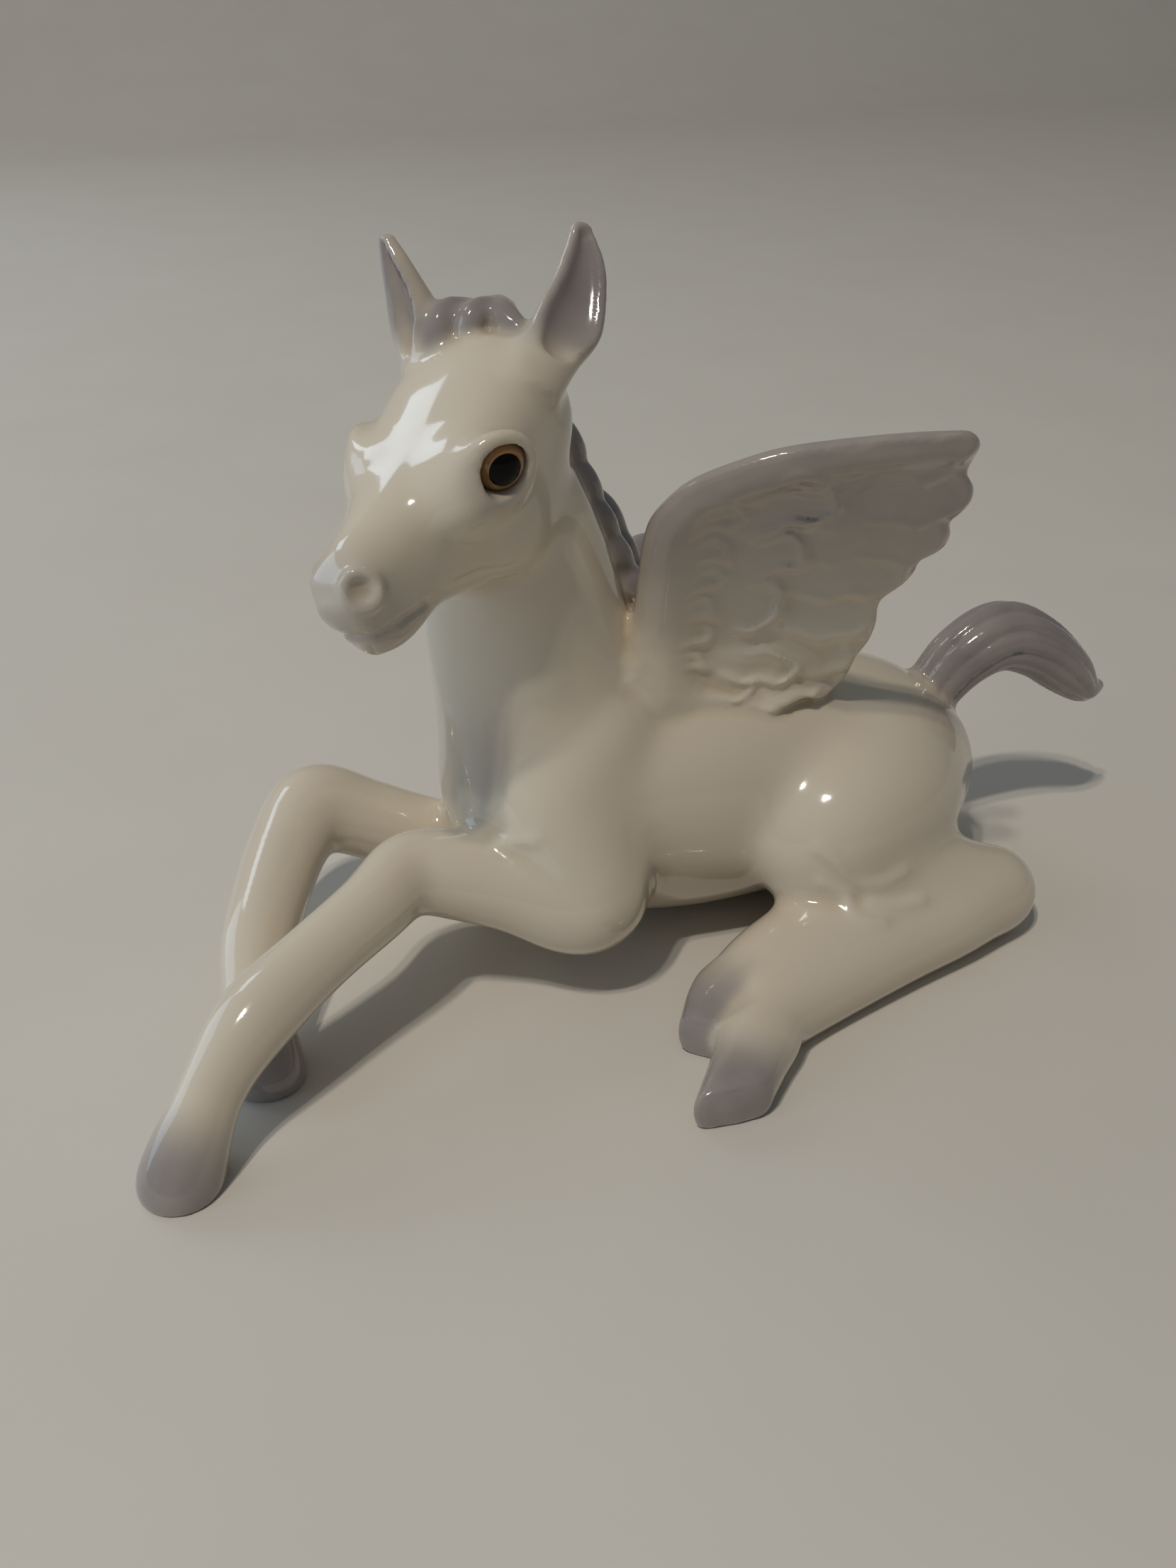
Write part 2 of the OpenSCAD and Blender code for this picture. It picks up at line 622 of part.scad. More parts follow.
module right_foreleg() {
    color("#E4DED4")
        difference() {
            resize([0, 0, 0])
                difference() {
                    right_foreleg_skin();
                    torso_skin();
                    head_and_neck_skin();
                    left_foreleg_skin();
                    leg_bore(right_fore_st, 7);
                }
            below_table();
        }
}
module left_hind_leg() {
    color("#E4DED4")
        difference() {
            resize([0, 0, 0])
                difference() {
                    left_hind_leg_skin();
                    torso_skin();
                    leg_bore(thigh_st, 3);
                    leg_bore(gaskin_st, 3);
                    leg_bore(left_cannon_st, 5);
                }
            below_table();
        }
}
module right_hind_leg() {
    color("#E4DED4")
        difference() {
            resize([0, 0, 0])
                difference() {
                    right_hind_leg_skin();
                    torso_skin();
                    left_hind_leg_skin();
                    leg_bore(right_cannon_st, 4);
                }
            below_table();
        }
}
module tail() {
    color("#B9AFAD")
        resize([0, 0, 0])
            difference() {
                tail_skin();
                torso_skin();
            }
}
module left_eye_glass() {
    color("#8A5A1E")
        eye_glass(1);
}
module right_eye_glass() {
    color("#8A5A1E")
        eye_glass(-1);
}
module left_pupil() {
    color("#0B0A0A")
        pupil(1);
}
module right_pupil() {
    color("#0B0A0A")
        pupil(-1);
}

translate(figure_shift) {
    torso();
    head_and_neck();
    left_ear();
    right_ear();
    forelock();
    mane();
    left_wing();
    right_wing();
    left_foreleg();
    right_foreleg();
    left_hind_leg();
    right_hind_leg();
    tail();
    left_eye_glass();
    right_eye_glass();
    left_pupil();
    right_pupil();
}
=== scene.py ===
import math
import bpy
import numpy as np
import openvdb
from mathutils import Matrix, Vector


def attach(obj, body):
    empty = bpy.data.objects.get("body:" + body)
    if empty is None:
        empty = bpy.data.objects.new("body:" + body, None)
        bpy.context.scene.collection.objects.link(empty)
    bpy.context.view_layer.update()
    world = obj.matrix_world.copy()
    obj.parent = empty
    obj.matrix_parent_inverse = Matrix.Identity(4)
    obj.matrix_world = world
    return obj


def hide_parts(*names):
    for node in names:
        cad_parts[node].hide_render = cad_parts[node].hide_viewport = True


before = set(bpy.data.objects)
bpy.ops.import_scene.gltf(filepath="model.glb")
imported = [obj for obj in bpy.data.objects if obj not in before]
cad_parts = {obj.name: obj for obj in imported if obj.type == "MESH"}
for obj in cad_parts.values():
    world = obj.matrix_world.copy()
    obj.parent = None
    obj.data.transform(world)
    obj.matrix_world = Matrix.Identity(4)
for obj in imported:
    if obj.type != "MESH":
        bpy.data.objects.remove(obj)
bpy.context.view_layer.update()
bpy.ops.object.select_all(action="DESELECT")

# Torso
# A hollow slip casting in white earthenware, to which all the other castings are luted.
# Soft clay has no edges to model by, so each form is pressed into a field of distances in
# millimetres, and the figure is skinned in one go once every form is on.
GRAIN = 0.8
LOW = np.array([-148.0, -114.0, -3.0])
HIGH = np.array([184.5, 63.0, 210.0])
COUNT = np.ceil((HIGH - LOW) / GRAIN).astype(int) + 1
REACH = 12.0
FILLET = 0.25
SPONGE_REACH = 2.6
CASTINGS = ["torso", "head_and_neck", "left_ear", "right_ear", "forelock", "mane", "left_wing",
            "right_wing", "left_foreleg", "right_foreleg", "left_hind_leg", "right_hind_leg", "tail"]
clay = np.full(COUNT, REACH, np.float32)
nearest = np.full(COUNT, REACH, np.float32)
owner = np.zeros(COUNT, np.int8)


def sponge(size):
    """Smooths all the clay that is on so far, as a wet sponge would."""
    global clay
    far = math.ceil(SPONGE_REACH * size / GRAIN)
    taps = np.exp(-0.5 * (np.arange(-far, far + 1) * GRAIN / size) ** 2)
    for axis in range(3):
        wide = np.pad(clay, [(far, far) if n == axis else (0, 0) for n in range(3)], mode="edge")
        clay = np.zeros(COUNT, np.float32)
        for n, tap in enumerate(taps / taps.sum()):
            window = [slice(None)] * 3
            window[axis] = slice(n, n + COUNT[axis])
            clay += np.float32(tap) * wide[tuple(window)]


def unit(v):
    v = np.asarray(v, float)
    return v / np.linalg.norm(v)


def patch(low, high):
    """The part of the field between two corners, and the places in it."""
    start = np.clip(((np.asarray(low) - LOW) / GRAIN).astype(int), 0, COUNT - 2)
    stop = np.clip(((np.asarray(high) - LOW) / GRAIN).astype(int) + 2, 2, COUNT)
    place = tuple(slice(a, b) for a, b in zip(start, stop))
    rows = [(LOW[n] + GRAIN * np.arange(start[n], stop[n])).astype(np.float32) for n in range(3)]
    return place, np.meshgrid(*rows, indexing="ij", sparse=True)


def press(casting, place, gap, blend):
    """Puts a form on, with a fillet where it meets the clay."""
    old = clay[place]
    near = np.maximum(blend - np.abs(old - gap), 0) / blend
    clay[place] = np.minimum(old, gap) - near * near * blend * FILLET
    mine = gap < nearest[place]
    owner[place][mine] = CASTINGS.index(casting)
    nearest[place] = np.minimum(nearest[place], gap)


def scoop(place, gap, blend):
    """Takes a form away, with a rounded rim."""
    old = clay[place]
    near = np.maximum(blend - np.abs(old + gap), 0) / blend
    clay[place] = np.maximum(old, -gap) + near * near * blend * FILLET


def work(casting, place, gap, blend, hollow):
    if hollow:
        scoop(place, gap, blend)
    else:
        press(casting, place, gap, blend)


def through(rows, steps):
    """A smooth curve through rows of numbers."""
    rows = np.asarray(rows, float)
    last = len(rows) - 1
    f = np.arange(steps)[:, None] / steps
    out = []
    for n in range(last):
        a, b, c, d = rows[max(n - 1, 0)], rows[n], rows[n + 1], rows[min(n + 2, last)]
        out.append(0.5 * (2 * b + (c - a) * f + (2 * a - 5 * b + 4 * c - d) * f ** 2
                          + (3 * b - a - 3 * c + d) * f ** 3))
    return np.vstack(out + [rows[-1:]])


BAR_STEPS = 16
DOME = np.radians([90, 84, 77, 69, 60, 50, 39, 27, 14])
THINNEST, STEEPEST = 0.02, 4


def bar(casting, at, along, side, up, rows, blend, ends=(0.0, 0.0), hollow=False):
    """Form with rows of place, sideways shift, upward shift, half width, height, depth, roundness."""
    fine = through(rows, BAR_STEPS)
    first, last = [], []
    for q in DOME:
        for end, row, way, out in ((ends[0], fine[0], -1, first), (ends[1], fine[-1], 1, last)):
            if end > 0:
                new = row.copy()
                new[0] += way * end * math.sin(q)
                new[3:6] *= max(math.cos(q), THINNEST)
                out.append(new)
    fine = np.vstack(first + [fine] + last[::-1])
    at, along, side, up = (np.asarray(v, float) for v in (at, along, side, up))
    centres = at + fine[:, :1] * along + fine[:, 1:2] * side + fine[:, 2:3] * up
    far = fine[:, 3:6].max(1)[:, None] + REACH
    place, (x, y, z) = patch((centres - far).min(0), (centres + far).max(0))
    x, y, z = x - at[0], y - at[1], z - at[2]
    t = x * along[0] + y * along[1] + z * along[2]
    u, v, wide, high, deep, square = (np.interp(t, fine[:, 0], fine[:, n]) for n in range(1, 7))
    u = x * side[0] + y * side[1] + z * side[2] - u
    v = x * up[0] + y * up[1] + z * up[2] - v
    power = 2 / square
    away = np.sqrt(u * u + v * v) + 1e-3
    share = ((np.abs(u) / wide) ** power + (np.abs(v) / np.where(v > 0, high, deep)) ** power) ** (1 / power)
    gap = away - away / np.maximum(share, 1e-4)
    over = np.maximum(fine[0, 0] - t, 0) + np.maximum(t - fine[-1, 0], 0)
    gap = np.where(over > 0, np.hypot(np.maximum(gap, 0), over), gap)
    slope = np.sqrt(sum(g * g for g in np.gradient(gap, GRAIN)))
    gap = (gap / np.clip(slope, 1, STEEPEST)).astype(np.float32)
    work(casting, place, gap, blend, hollow)


def limb(casting, rows, steps=4, hollow=False, locks=0, lock_depth=0.0, lock_turn=0.0):
    """Rounded form along rows of x, y, z, radius and blend, with hair locks if wanted."""
    path = through(rows, steps)
    fat = path[:, 3:4] + REACH
    place, grids = patch((path[:, :3] - fat).min(0), (path[:, :3] + fat).max(0))
    shape = np.broadcast_shapes(*(g.shape for g in grids))
    gap = np.full(shape, REACH, np.float32)
    blend = np.full(shape, path[0, 4], np.float32)
    for n in range(len(path) - 1):
        p, q = path[n], path[n + 1]
        wide = max(p[3], q[3]) + REACH
        part = []
        for axis in range(3):
            line = grids[axis].ravel()
            part.append(slice(*np.searchsorted(line, (min(p[axis], q[axis]) - wide,
                                                      max(p[axis], q[axis]) + wide))))
        x, y, z = grids[0][part[0]], grids[1][:, part[1]], grids[2][:, :, part[2]]
        d = q[:3] - p[:3]
        t = np.clip(((x - p[0]) * d[0] + (y - p[1]) * d[1] + (z - p[2]) * d[2]) / max(d @ d, 1e-6), 0, 1)
        ox, oy, oz = x - p[0] - t * d[0], y - p[1] - t * d[1], z - p[2] - t * d[2]
        radius = p[3] + (q[3] - p[3]) * t
        if locks:
            way = unit(d)
            side = unit(np.cross((0.0, 0.0, 1.0) if abs(way[2]) < 0.9 else (1.0, 0.0, 0.0), way))
            rise = np.cross(way, side)
            turn = np.arctan2(ox * rise[0] + oy * rise[1] + oz * rise[2],
                              ox * side[0] + oy * side[1] + oz * side[2])
            wave = np.abs(np.sin(turn * locks / 2 + lock_turn * (n + t) / len(path)))
            radius = radius * (1 - lock_depth * (1 - wave) ** 2)
        dist = (np.sqrt(ox * ox + oy * oy + oz * oz) - radius).astype(np.float32)
        part = tuple(part)
        closer = dist < gap[part]
        gap[part] = np.where(closer, dist, gap[part])
        blend[part] = np.where(closer, p[4] + (q[4] - p[4]) * t, blend[part])
    work(casting, place, gap, blend, hollow)


def egg(casting, centre, axes, radii, blend, hollow=False):
    """Egg-shaped form with three radii along three directions."""
    reach = max(radii) + REACH
    place, (x, y, z) = patch(np.asarray(centre) - reach, np.asarray(centre) + reach)
    x, y, z = x - centre[0], y - centre[1], z - centre[2]
    near, steep = 0, 0
    for axis, radius in zip(axes, radii):
        q = (x * axis[0] + y * axis[1] + z * axis[2]) / radius
        near = near + q * q
        steep = steep + (q / radius) ** 2
    near = np.sqrt(near)
    gap = (near * (near - 1) / np.maximum(np.sqrt(steep), 1e-5)).astype(np.float32)
    work(casting, place, gap, blend, hollow)


AHEAD, LEFT, UP = np.array([-1.0, 0, 0]), np.array([0, -1.0, 0]), np.array([0, 0, 1.0])
BACK = -AHEAD
ORIGIN = (0, 0, 0)
barrel = [[-34.7, 0, 49, 22.8, 22.2, 24, 1], [-22.6, 0, 49, 30.4, 30.3, 32, 1],
          [-3.7, 0, 49, 36, 36, 41, 0.97], [23.8, 0, 47.2, 38.5, 37.3, 44, 0.92],
          [51.3, 0, 42.7, 38.5, 38, 39, 0.92], [78.8, 0, 37.3, 37.4, 38, 33.3, 1],
          [102.9, 0, 31.9, 33.5, 35, 31, 1], [116, 0, 31, 24, 25, 23.7, 1]]
right_haunch = [[92, 15, 23, 24, 6], [68.5, 21, 20, 21, 6], [48, 21, 15, 16, 6]]
bar("torso", ORIGIN, BACK, -LEFT, UP, barrel, 4, ends=(8.6, 8))
limb("torso", right_haunch, steps=8)

# Head and neck
# One casting, and its neck comes first: deep from crest to throat, and flared into the shoulders.
# The head is turned to the left, nods and tilts, so it has three directions of its own.
HEAD_AT = np.array([-50.0, -22.5, 155.0])
turn, nod, tilt = (math.radians(v) for v in (41, 34, 12))
NOSE = np.array([-math.cos(nod) * math.cos(turn), -math.cos(nod) * math.sin(turn), -math.sin(nod)])
crown = np.array([-math.sin(nod) * math.cos(turn), -math.sin(nod) * math.sin(turn), math.cos(nod)])
cheek = np.array([math.sin(turn), -math.cos(turn), 0.0])
CHEEK = cheek * math.cos(tilt) + crown * math.sin(tilt)
CROWN = crown * math.cos(tilt) - cheek * math.sin(tilt)
HEAD = (NOSE, CHEEK, CROWN)


def on_head(a, c, b):
    """A place so far along the nose, out to the left cheek and up to the crown."""
    return HEAD_AT + NOSE * a + CHEEK * c + CROWN * b


neck = [[54, 0, 15, 31, 27.5, 35, 1], [82, -1, 17, 26.5, 28, 31.5, 1],
        [105, -3, 20, 22.3, 26.6, 28.5, 1], [122, -5, 22, 20.2, 24, 26, 1],
        [138, -7, 24, 18, 20, 21.5, 1], [156, -7, 27.7, 16, 17, 17, 1]]
bar("head_and_neck", ORIGIN, UP, -LEFT, AHEAD, neck, 10, ends=(0, 8))
# The withers, a pad of clay between the neck and the left wing.
withers = [[10, -9, 84, 7, 8], [22, -9, 82, 7, 8]]
limb("torso", withers, steps=8)

# Legs
# Four slip castings, folded as a foal folds them: the left foreleg lies over the right one, and both
# hind legs lie to the left, fused along their length. The hoofs stand square on the table.
shoulder_axes = (unit((-9, -20, -54)), unit((1, 0, -0.2)), unit((0.2, -1, 0.37)))
egg("left_foreleg", (-8, -21, 50), shoulder_axes, (36, 21, 19), 5)
left_fore = [(-2, -16, 74, 14, 5), (-18, -22, 56, 17, 5), (-12.5, -33, 32.5, 18, 5),
             (-33, -28, 36.8, 14, 5), (-48.7, -23.4, 40.2, 12.6, 5), (-60, -21, 42, 11.6, 5),
             (-73, -32, 40.8, 10.4, 3), (-90.8, -42.6, 36.6, 10, 2), (-108.3, -52.6, 30.4, 10.6, 2),
             (-119, -60.5, 22.6, 9, 2), (-124.7, -65.5, 16.2, 8.8, 2), (-129.8, -69.9, 9, 10.2, 2),
             (-133.5, -73.1, 2, 11.2, 2)]
right_fore = [(-8, 18, 34, 14, 5), (-24, 19, 12.4, 13.4, 5), (-42.6, 18.5, 24, 12, 4),
              (-63.8, 24.3, 33, 12.4, 3), (-77.5, 26, 39, 13, 2), (-87.6, 16.1, 34.2, 12, 2),
              (-96.4, -1, 29.4, 11.2, 2), (-103, -17, 23.9, 10.8, 2), (-106.6, -31, 16.8, 9.6, 2),
              (-107, -38, 9, 9.8, 2), (-107, -42.4, 2, 10.8, 2)]
right_cannon = [(94, -6, 17, 12, 8), (104, -27, 12, 12.5, 8), (82, -38, 13.5, 12.5, 6),
                (59, -48.5, 14, 12, 5), (34.5, -57.5, 12.5, 11.8, 4), (18, -64, 9.5, 9.4, 3)]
thigh = [(98, -12, 40, 23, 6), (82, -26, 41, 25.5, 6), (65, -34, 40, 23, 6), (54, -35, 37, 16.5, 6)]
gaskin = [(57, -38, 31, 15, 6), (76.4, -42.4, 25, 15.5, 6), (97.8, -46.3, 18.3, 13.5, 6),
          (113, -49, 12, 12.5, 6)]
left_cannon = [(113, -49, 12, 12.8, 6), (96, -56, 11.3, 12.2, 6), (73.5, -62, 10.3, 11.3, 5),
               (45, -69.5, 9, 11, 4), (27, -76, 9, 10.6, 4), (16, -84, 9, 9.8, 3)]
between_cannons = [(90, -46, 15, 14, 6), (64, -55, 14, 13, 6), (42, -62, 12, 11.5, 5), (27, -68, 10, 10, 4)]
for casting, rows in (("right_foreleg", right_fore), ("left_foreleg", left_fore),
                      ("right_hind_leg", right_cannon), ("left_hind_leg", thigh), ("left_hind_leg", gaskin),
                      ("left_hind_leg", left_cannon), ("left_hind_leg", between_cannons)):
    limb(casting, rows, steps=8)
sponge(2.4)
left_hoof = [[-5, -2.5, 0, 11.5, 8, 8.5, 0.9], [1, 0.5, 0, 12.6, 8.5, 8.5, 0.85],
             [7.5, 5.5, -0.3, 11.8, 7.8, 8.5, 0.75], [16.2, 12.2, -0.9, 10.8, 6.2, 8.5, 0.6]]
right_hoof = [[-4, 0, 0, 9, 7.6, 8.5, 0.9], [3, 0, 0, 10, 8, 8.5, 0.85],
              [9, 0, -0.4, 10, 7.2, 8.5, 0.75], [15.6, 0, -0.8, 9.8, 6, 8.5, 0.6]]
for casting, at, along, rows in (("left_hind_leg", (16, -86.5, 8.5), (-0.1, -0.99, -0.04), left_hoof),
                                 ("right_hind_leg", (17, -63.9, 8.5), (-0.57, -0.82, -0.04), right_hoof)):
    along = unit(along)
    across = unit(np.cross(along, UP))
    bar(casting, at, along, across, np.cross(across, along), rows, 3, ends=(4, 1.0))
WALK = 12


def on_skin(spot):
    """The nearest place on the clay, found by walking down the field."""
    for step in range(WALK):
        i = np.clip(np.rint((spot - LOW) / GRAIN).astype(int), 1, COUNT - 2)
        x, y, z = i
        slope = np.array([clay[x + 1, y, z] - clay[x - 1, y, z], clay[x, y + 1, z] - clay[x, y - 1, z],
                          clay[x, y, z + 1] - clay[x, y, z - 1]]) / (2 * GRAIN)
        depth = clay[x, y, z] + slope @ (spot - LOW - GRAIN * i)
        spot = spot - slope * depth / max(slope @ slope, 0.05)
    return spot


# Small folds of skin, where the thigh meets the gaskin and the forearm meets the breast.
FOLD_R, FOLD_BLEND = 0.9, 2.4
thigh_folds = [[(49.2, -51.4, 44.4), (54.1, -54.6, 40.8), (59.6, -56.3, 33.5), (67.7, -57.6, 31.4),
                (76.6, -56.7, 33.3)],
               [(50.6, -53.5, 33.3), (57.1, -56.4, 29.8), (57.8, -60.9, 26.6), (61.7, -64.4, 25.2),
                (66.1, -65.5, 24.2)],
               [(63.8, -60.3, 27.4), (71.5, -62.1, 25.8), (80.5, -61.7, 25.2)]]
breast_fold = [(-36.6, -29.5, 51.7), (-32.5, -33.6, 54), (-28, -37.2, 55.5)]
for casting, fold in [("left_hind_leg", fold) for fold in thigh_folds] + [("left_foreleg", breast_fold)]:
    limb(casting, [[*on_skin(np.array(spot)), FOLD_R, FOLD_BLEND] for spot in fold], steps=6)

# Face
# The front of the head casting: a round forehead, a dished nose, a soft muzzle with round nostrils, and
# two orbits with lids that hold the glass eyes. The side that the head turns away is a little slighter.
skull = [[-41.4, 0, -6, 13.8, 10, 15, 0.9], [-34.2, 0, -5, 19.4, 14.5, 23, 0.84],
         [-18.9, 0, -5, 21.9, 15.5, 27.9, 0.8], [-2.3, 0, -5, 21.2, 14.5, 29.7, 0.84],
         [9.9, 0, -3, 16.3, 12.5, 27, 0.9], [20.2, 0.7, -1, 11.3, 11.5, 21.6, 0.95],
         [30.1, 0.9, 1, 10, 10.5, 18.2, 1], [36.1, 0.8, 0, 9.6, 9.5, 13, 1], [40, 0.6, -1, 7.9, 7, 9.5, 1]]
bar("head_and_neck", HEAD_AT, NOSE, CHEEK, CROWN, skull, 3, ends=(2.7, 3.4))
for s, orbit, orbit_size, nose_size in ((1, (-1, 15.2, -1), (13.5, 9.3, 10), (6.2, 4.6, 5.0)),
                                        (-1, (1, -11.8, -1), (9, 9.3, 9.5), (5.0, 3.4, 4.0))):
    egg("head_and_neck", on_head(*orbit), HEAD, orbit_size, 6)
    egg("head_and_neck", on_head(-8, 10.5 * s, -23), HEAD, (15, 7.4, 11.5), 6)
    egg("head_and_neck", on_head(33.2, 4.4 * s + 0.5, 4.2), HEAD, nose_size, 4)
egg("head_and_neck", on_head(31, 0, -11.8), HEAD, (10.5, 7.6, 6.4), 6)
sponge(1.0)
EYE_D, EYE_T = 12.0, 5.0
EYE_OUT = math.radians(59)
EYE_BACK, EYE_SIDE, EYE_SHIFT = -2.0, 23.6, 1.8
RING = 48
LID_R, LID_DRAW, LID_BLEND = 8.3, 0.9, 5.5
LID_THIN, LID_SWELL = 0.9, 0.6
socket = [[-0.3, 0, 0, 6.2, 6.2, 6.2, 1], [2.2, 0, 0, 6.3, 6.2, 6.2, 1], [3.6, 0, 0, 6.3, 5.2, 6.3, 1],
          [9, 0, 0, 6.6, 5.2, 7.2, 1]]
NOSTRIL_H, NOSTRIL_W, NOSTRIL_BLEND = 4.0, 3.6, 4.0
NOSTRIL_R, NOSTRIL_OUT, NOSTRIL_STEPS = 3.0, 2.6, 32
mouth = [(27, 10.4, -13), (29.5, 9.6, -11), (33.5, 9.2, -9), (37.7, 7.8, -7), (41.5, 4.4, -5.2),
         (43.2, 0, -4.4)]
MOUTH_R, MOUTH_BLEND = 1.2, 1.2


def eye_seat(s):
    """Where the left (1) or the right (-1) eye looks, and the middle of its flat back."""
    look = NOSE * math.cos(EYE_OUT) + CHEEK * s * math.sin(EYE_OUT)
    return look, on_head(EYE_BACK, s * EYE_SIDE + EYE_SHIFT, 0) - look * EYE_T


for s, lid_out, lid_rise, nostril, wall in ((1, 0.5, 1.8, (36, 7.8, 5.6), 0.8),
                                            (-1, 0.2, 0.9, (33.5, -8, 3), 0.4)):
    look, seat = eye_seat(s)
    lift = unit(CROWN * 0.7 - NOSE * 0.72)
    lift = unit(lift - look * (lift @ look))
    across = np.cross(look, lift)
    lids = []
    for n in range(RING + 1):
        q = 2 * math.pi * n / RING
        high = (1 + math.cos(q)) / 2
        out = look * (lid_out + lid_rise * high)
        spot = seat + out + (lift * math.cos(q) + across * math.sin(q)) * (LID_R - LID_DRAW * high)
        lids.append([*spot, LID_THIN + LID_SWELL * high, LID_BLEND])
    limb("head_and_neck", lids, steps=1)
    bar("head_and_neck", seat, look, across, lift, socket, 0.8, hollow=True)
    middle = on_skin(on_head(*nostril))
    face = unit(NOSE * 0.55 + CHEEK * 0.75 * s + CROWN * 0.35)
    top = unit(CROWN - face * (CROWN @ face))
    side = np.cross(face, top)
    rim = []
    for q in np.linspace(0, 2 * math.pi, NOSTRIL_STEPS + 1):
        spot = middle + (top * math.cos(q) * NOSTRIL_H + side * math.sin(q) * NOSTRIL_W)
        rim.append([*spot, wall, NOSTRIL_BLEND])
    limb("head_and_neck", rim, steps=1)
    egg("head_and_neck", middle + face * NOSTRIL_OUT, HEAD, (NOSTRIL_R,) * 3, 2.4, hollow=True)
    lips = [[*on_skin(on_head(a, c * s, b)), MOUTH_R, MOUTH_BLEND] for a, c, b in mouth]
    limb("head_and_neck", lips, steps=6, hollow=True)

# Ears
# Two small press-moulded shells, cupped to the side and the front and luted to the poll.
# The left one shows its cup and the right one its narrow slit.
EAR_W = 19.0
CUP_FLOOR, CUP_OPEN = 5, 16
left_shell = [(-0.25, 0.08, 0.32, 0.2, 0.32), (0, 0.17, 0.38, 0.24, 0.36), (0.28, 0.26, 0.45, 0.22, 0.34),
              (0.55, 0.26, 0.38, 0.19, 0.28), (0.8, 0.19, 0.29, 0.15, 0.2), (0.98, 0.05, 0.16, 0.12, 0.13)]
left_cup = [(0.08, 0.18, 0.25, 4.4), (0.28, 0.27, 0.38, 5.6), (0.55, 0.27, 0.31, 5.6),
            (0.8, 0.19, 0.21, 5.2), (0.93, 0.09, 0.11, 5)]
right_shell = [(-0.25, 0, 0.42, 0.23, 0.42), (0, 0, 0.52, 0.28, 0.46), (0.25, 0.02, 0.5, 0.25, 0.4),
               (0.5, 0.06, 0.38, 0.2, 0.3), (0.75, 0.08, 0.26, 0.15, 0.2), (0.95, 0.06, 0.12, 0.1, 0.12)]
right_cup = [(0.06, 0.26, 0.12, 4.6), (0.25, 0.3, 0.19, 6), (0.5, 0.28, 0.16, 6), (0.72, 0.2, 0.11, 5.6),
             (0.9, 0.1, 0.05, 5)]
cups = {}
for casting, shell, scooped, root, tip, facing in (
        ("left_ear", left_shell, left_cup, (-36, 17.5, 2), (-69, 17, 9), CHEEK + CROWN * 0.6 + NOSE * 0.3),
        ("right_ear", right_shell, right_cup, (-35, -17, 7.5), (-48, -20, 29), NOSE * 0.85 - CHEEK * 0.38)):
    root, tip = on_head(*root), on_head(*tip)
    length = np.linalg.norm(tip - root)
    grow = unit(tip - root)
    cup = unit(facing - grow * (facing @ grow))
    side = np.cross(grow, cup)
    cups[casting] = (root, grow / length, cup)
    shell_rows = [[f * length, m * EAR_W, 0, w * EAR_W, c * EAR_W, d * EAR_W, 1] for f, m, w, c, d in shell]
    cup_rows = [[f * length, m * EAR_W, CUP_FLOOR, w * EAR_W, CUP_OPEN, d, 1] for f, m, w, d in scooped]
    bar(casting, root, grow, side, cup, shell_rows, 6, ends=(0, 1.5))
    bar(casting, root, grow, side, cup, cup_rows, 1.8, ends=(4, 2), hollow=True)

# Forelock and mane
# Hand-laid coils of clay: tufts between the ears and a ridge of overlapping locks down the crest.
# A second row of locks lies on the far side and fills the view between the neck and the wing.
TUFT_BLEND = 1.8
tufts = [[(-45, -4, 4.5, 4.2), (-40.5, -6.6, 10.2, 4.3), (-36.4, -7.4, 11, 4.4), (-32.4, -7.2, 8.6, 3.9)],
         [(-46, 1, 4, 4.2), (-42, 0.4, 8.8, 3.9), (-38.4, 0, 9.4, 3.3), (-35.4, -0.2, 8, 2.2)],
         [(-46, 2, 4.5, 4.2), (-43.6, 5.4, 6.4, 3.7), (-41.4, 9, 5.2, 3.2), (-40, 12.5, 3, 2.2)]]
for tuft in tufts:
    rows = [[*on_head(a, c, b), r, TUFT_BLEND] for a, c, b, r in tuft]
    limb("forelock", rows, locks=6, lock_depth=0.1, lock_turn=1.5)
crest = [(-22, -1.5, 170.4), (-12.5, -2, 160), (-7.5, -1, 148), (-3.2, 0, 137), (0.8, 0, 127), (5, 0, 117),
         (9.4, 0, 108), (13.4, 0, 99), (17.5, 0, 89)]
LOCKS, FIRST_FAR = 8, 3
FAR_SIDE = np.array([5.5, 6.0, -3.0])
far_locks = [(n, FAR_SIDE, 1.0) for n in range(FIRST_FAR, LOCKS)]
near_locks = [(n, np.zeros(3), -1.2 - 0.35 * n) for n in range(LOCKS)]
for n, aside, lean in far_locks + near_locks:
    here, there = np.array(crest[n]) + aside, np.array(crest[n + 1]) + aside
    down = unit(there - here)
    out = unit(BACK - down * down[0])
    lean = np.array([0, lean, 0])
    more = 0.12 * n
    limb("mane", [[*(here - out * 1.5), 4.6, 2],
                  [*(here + down * 7 + out * (0.8 + more) + lean), 4.8 + more, 1.2],
                  [*(here + down * 13 + out * (2.6 + more) + lean), 3.4 + more, 1],
                  [*(here + down * 17 + out * (3.2 + more)), 1.6, 1]])

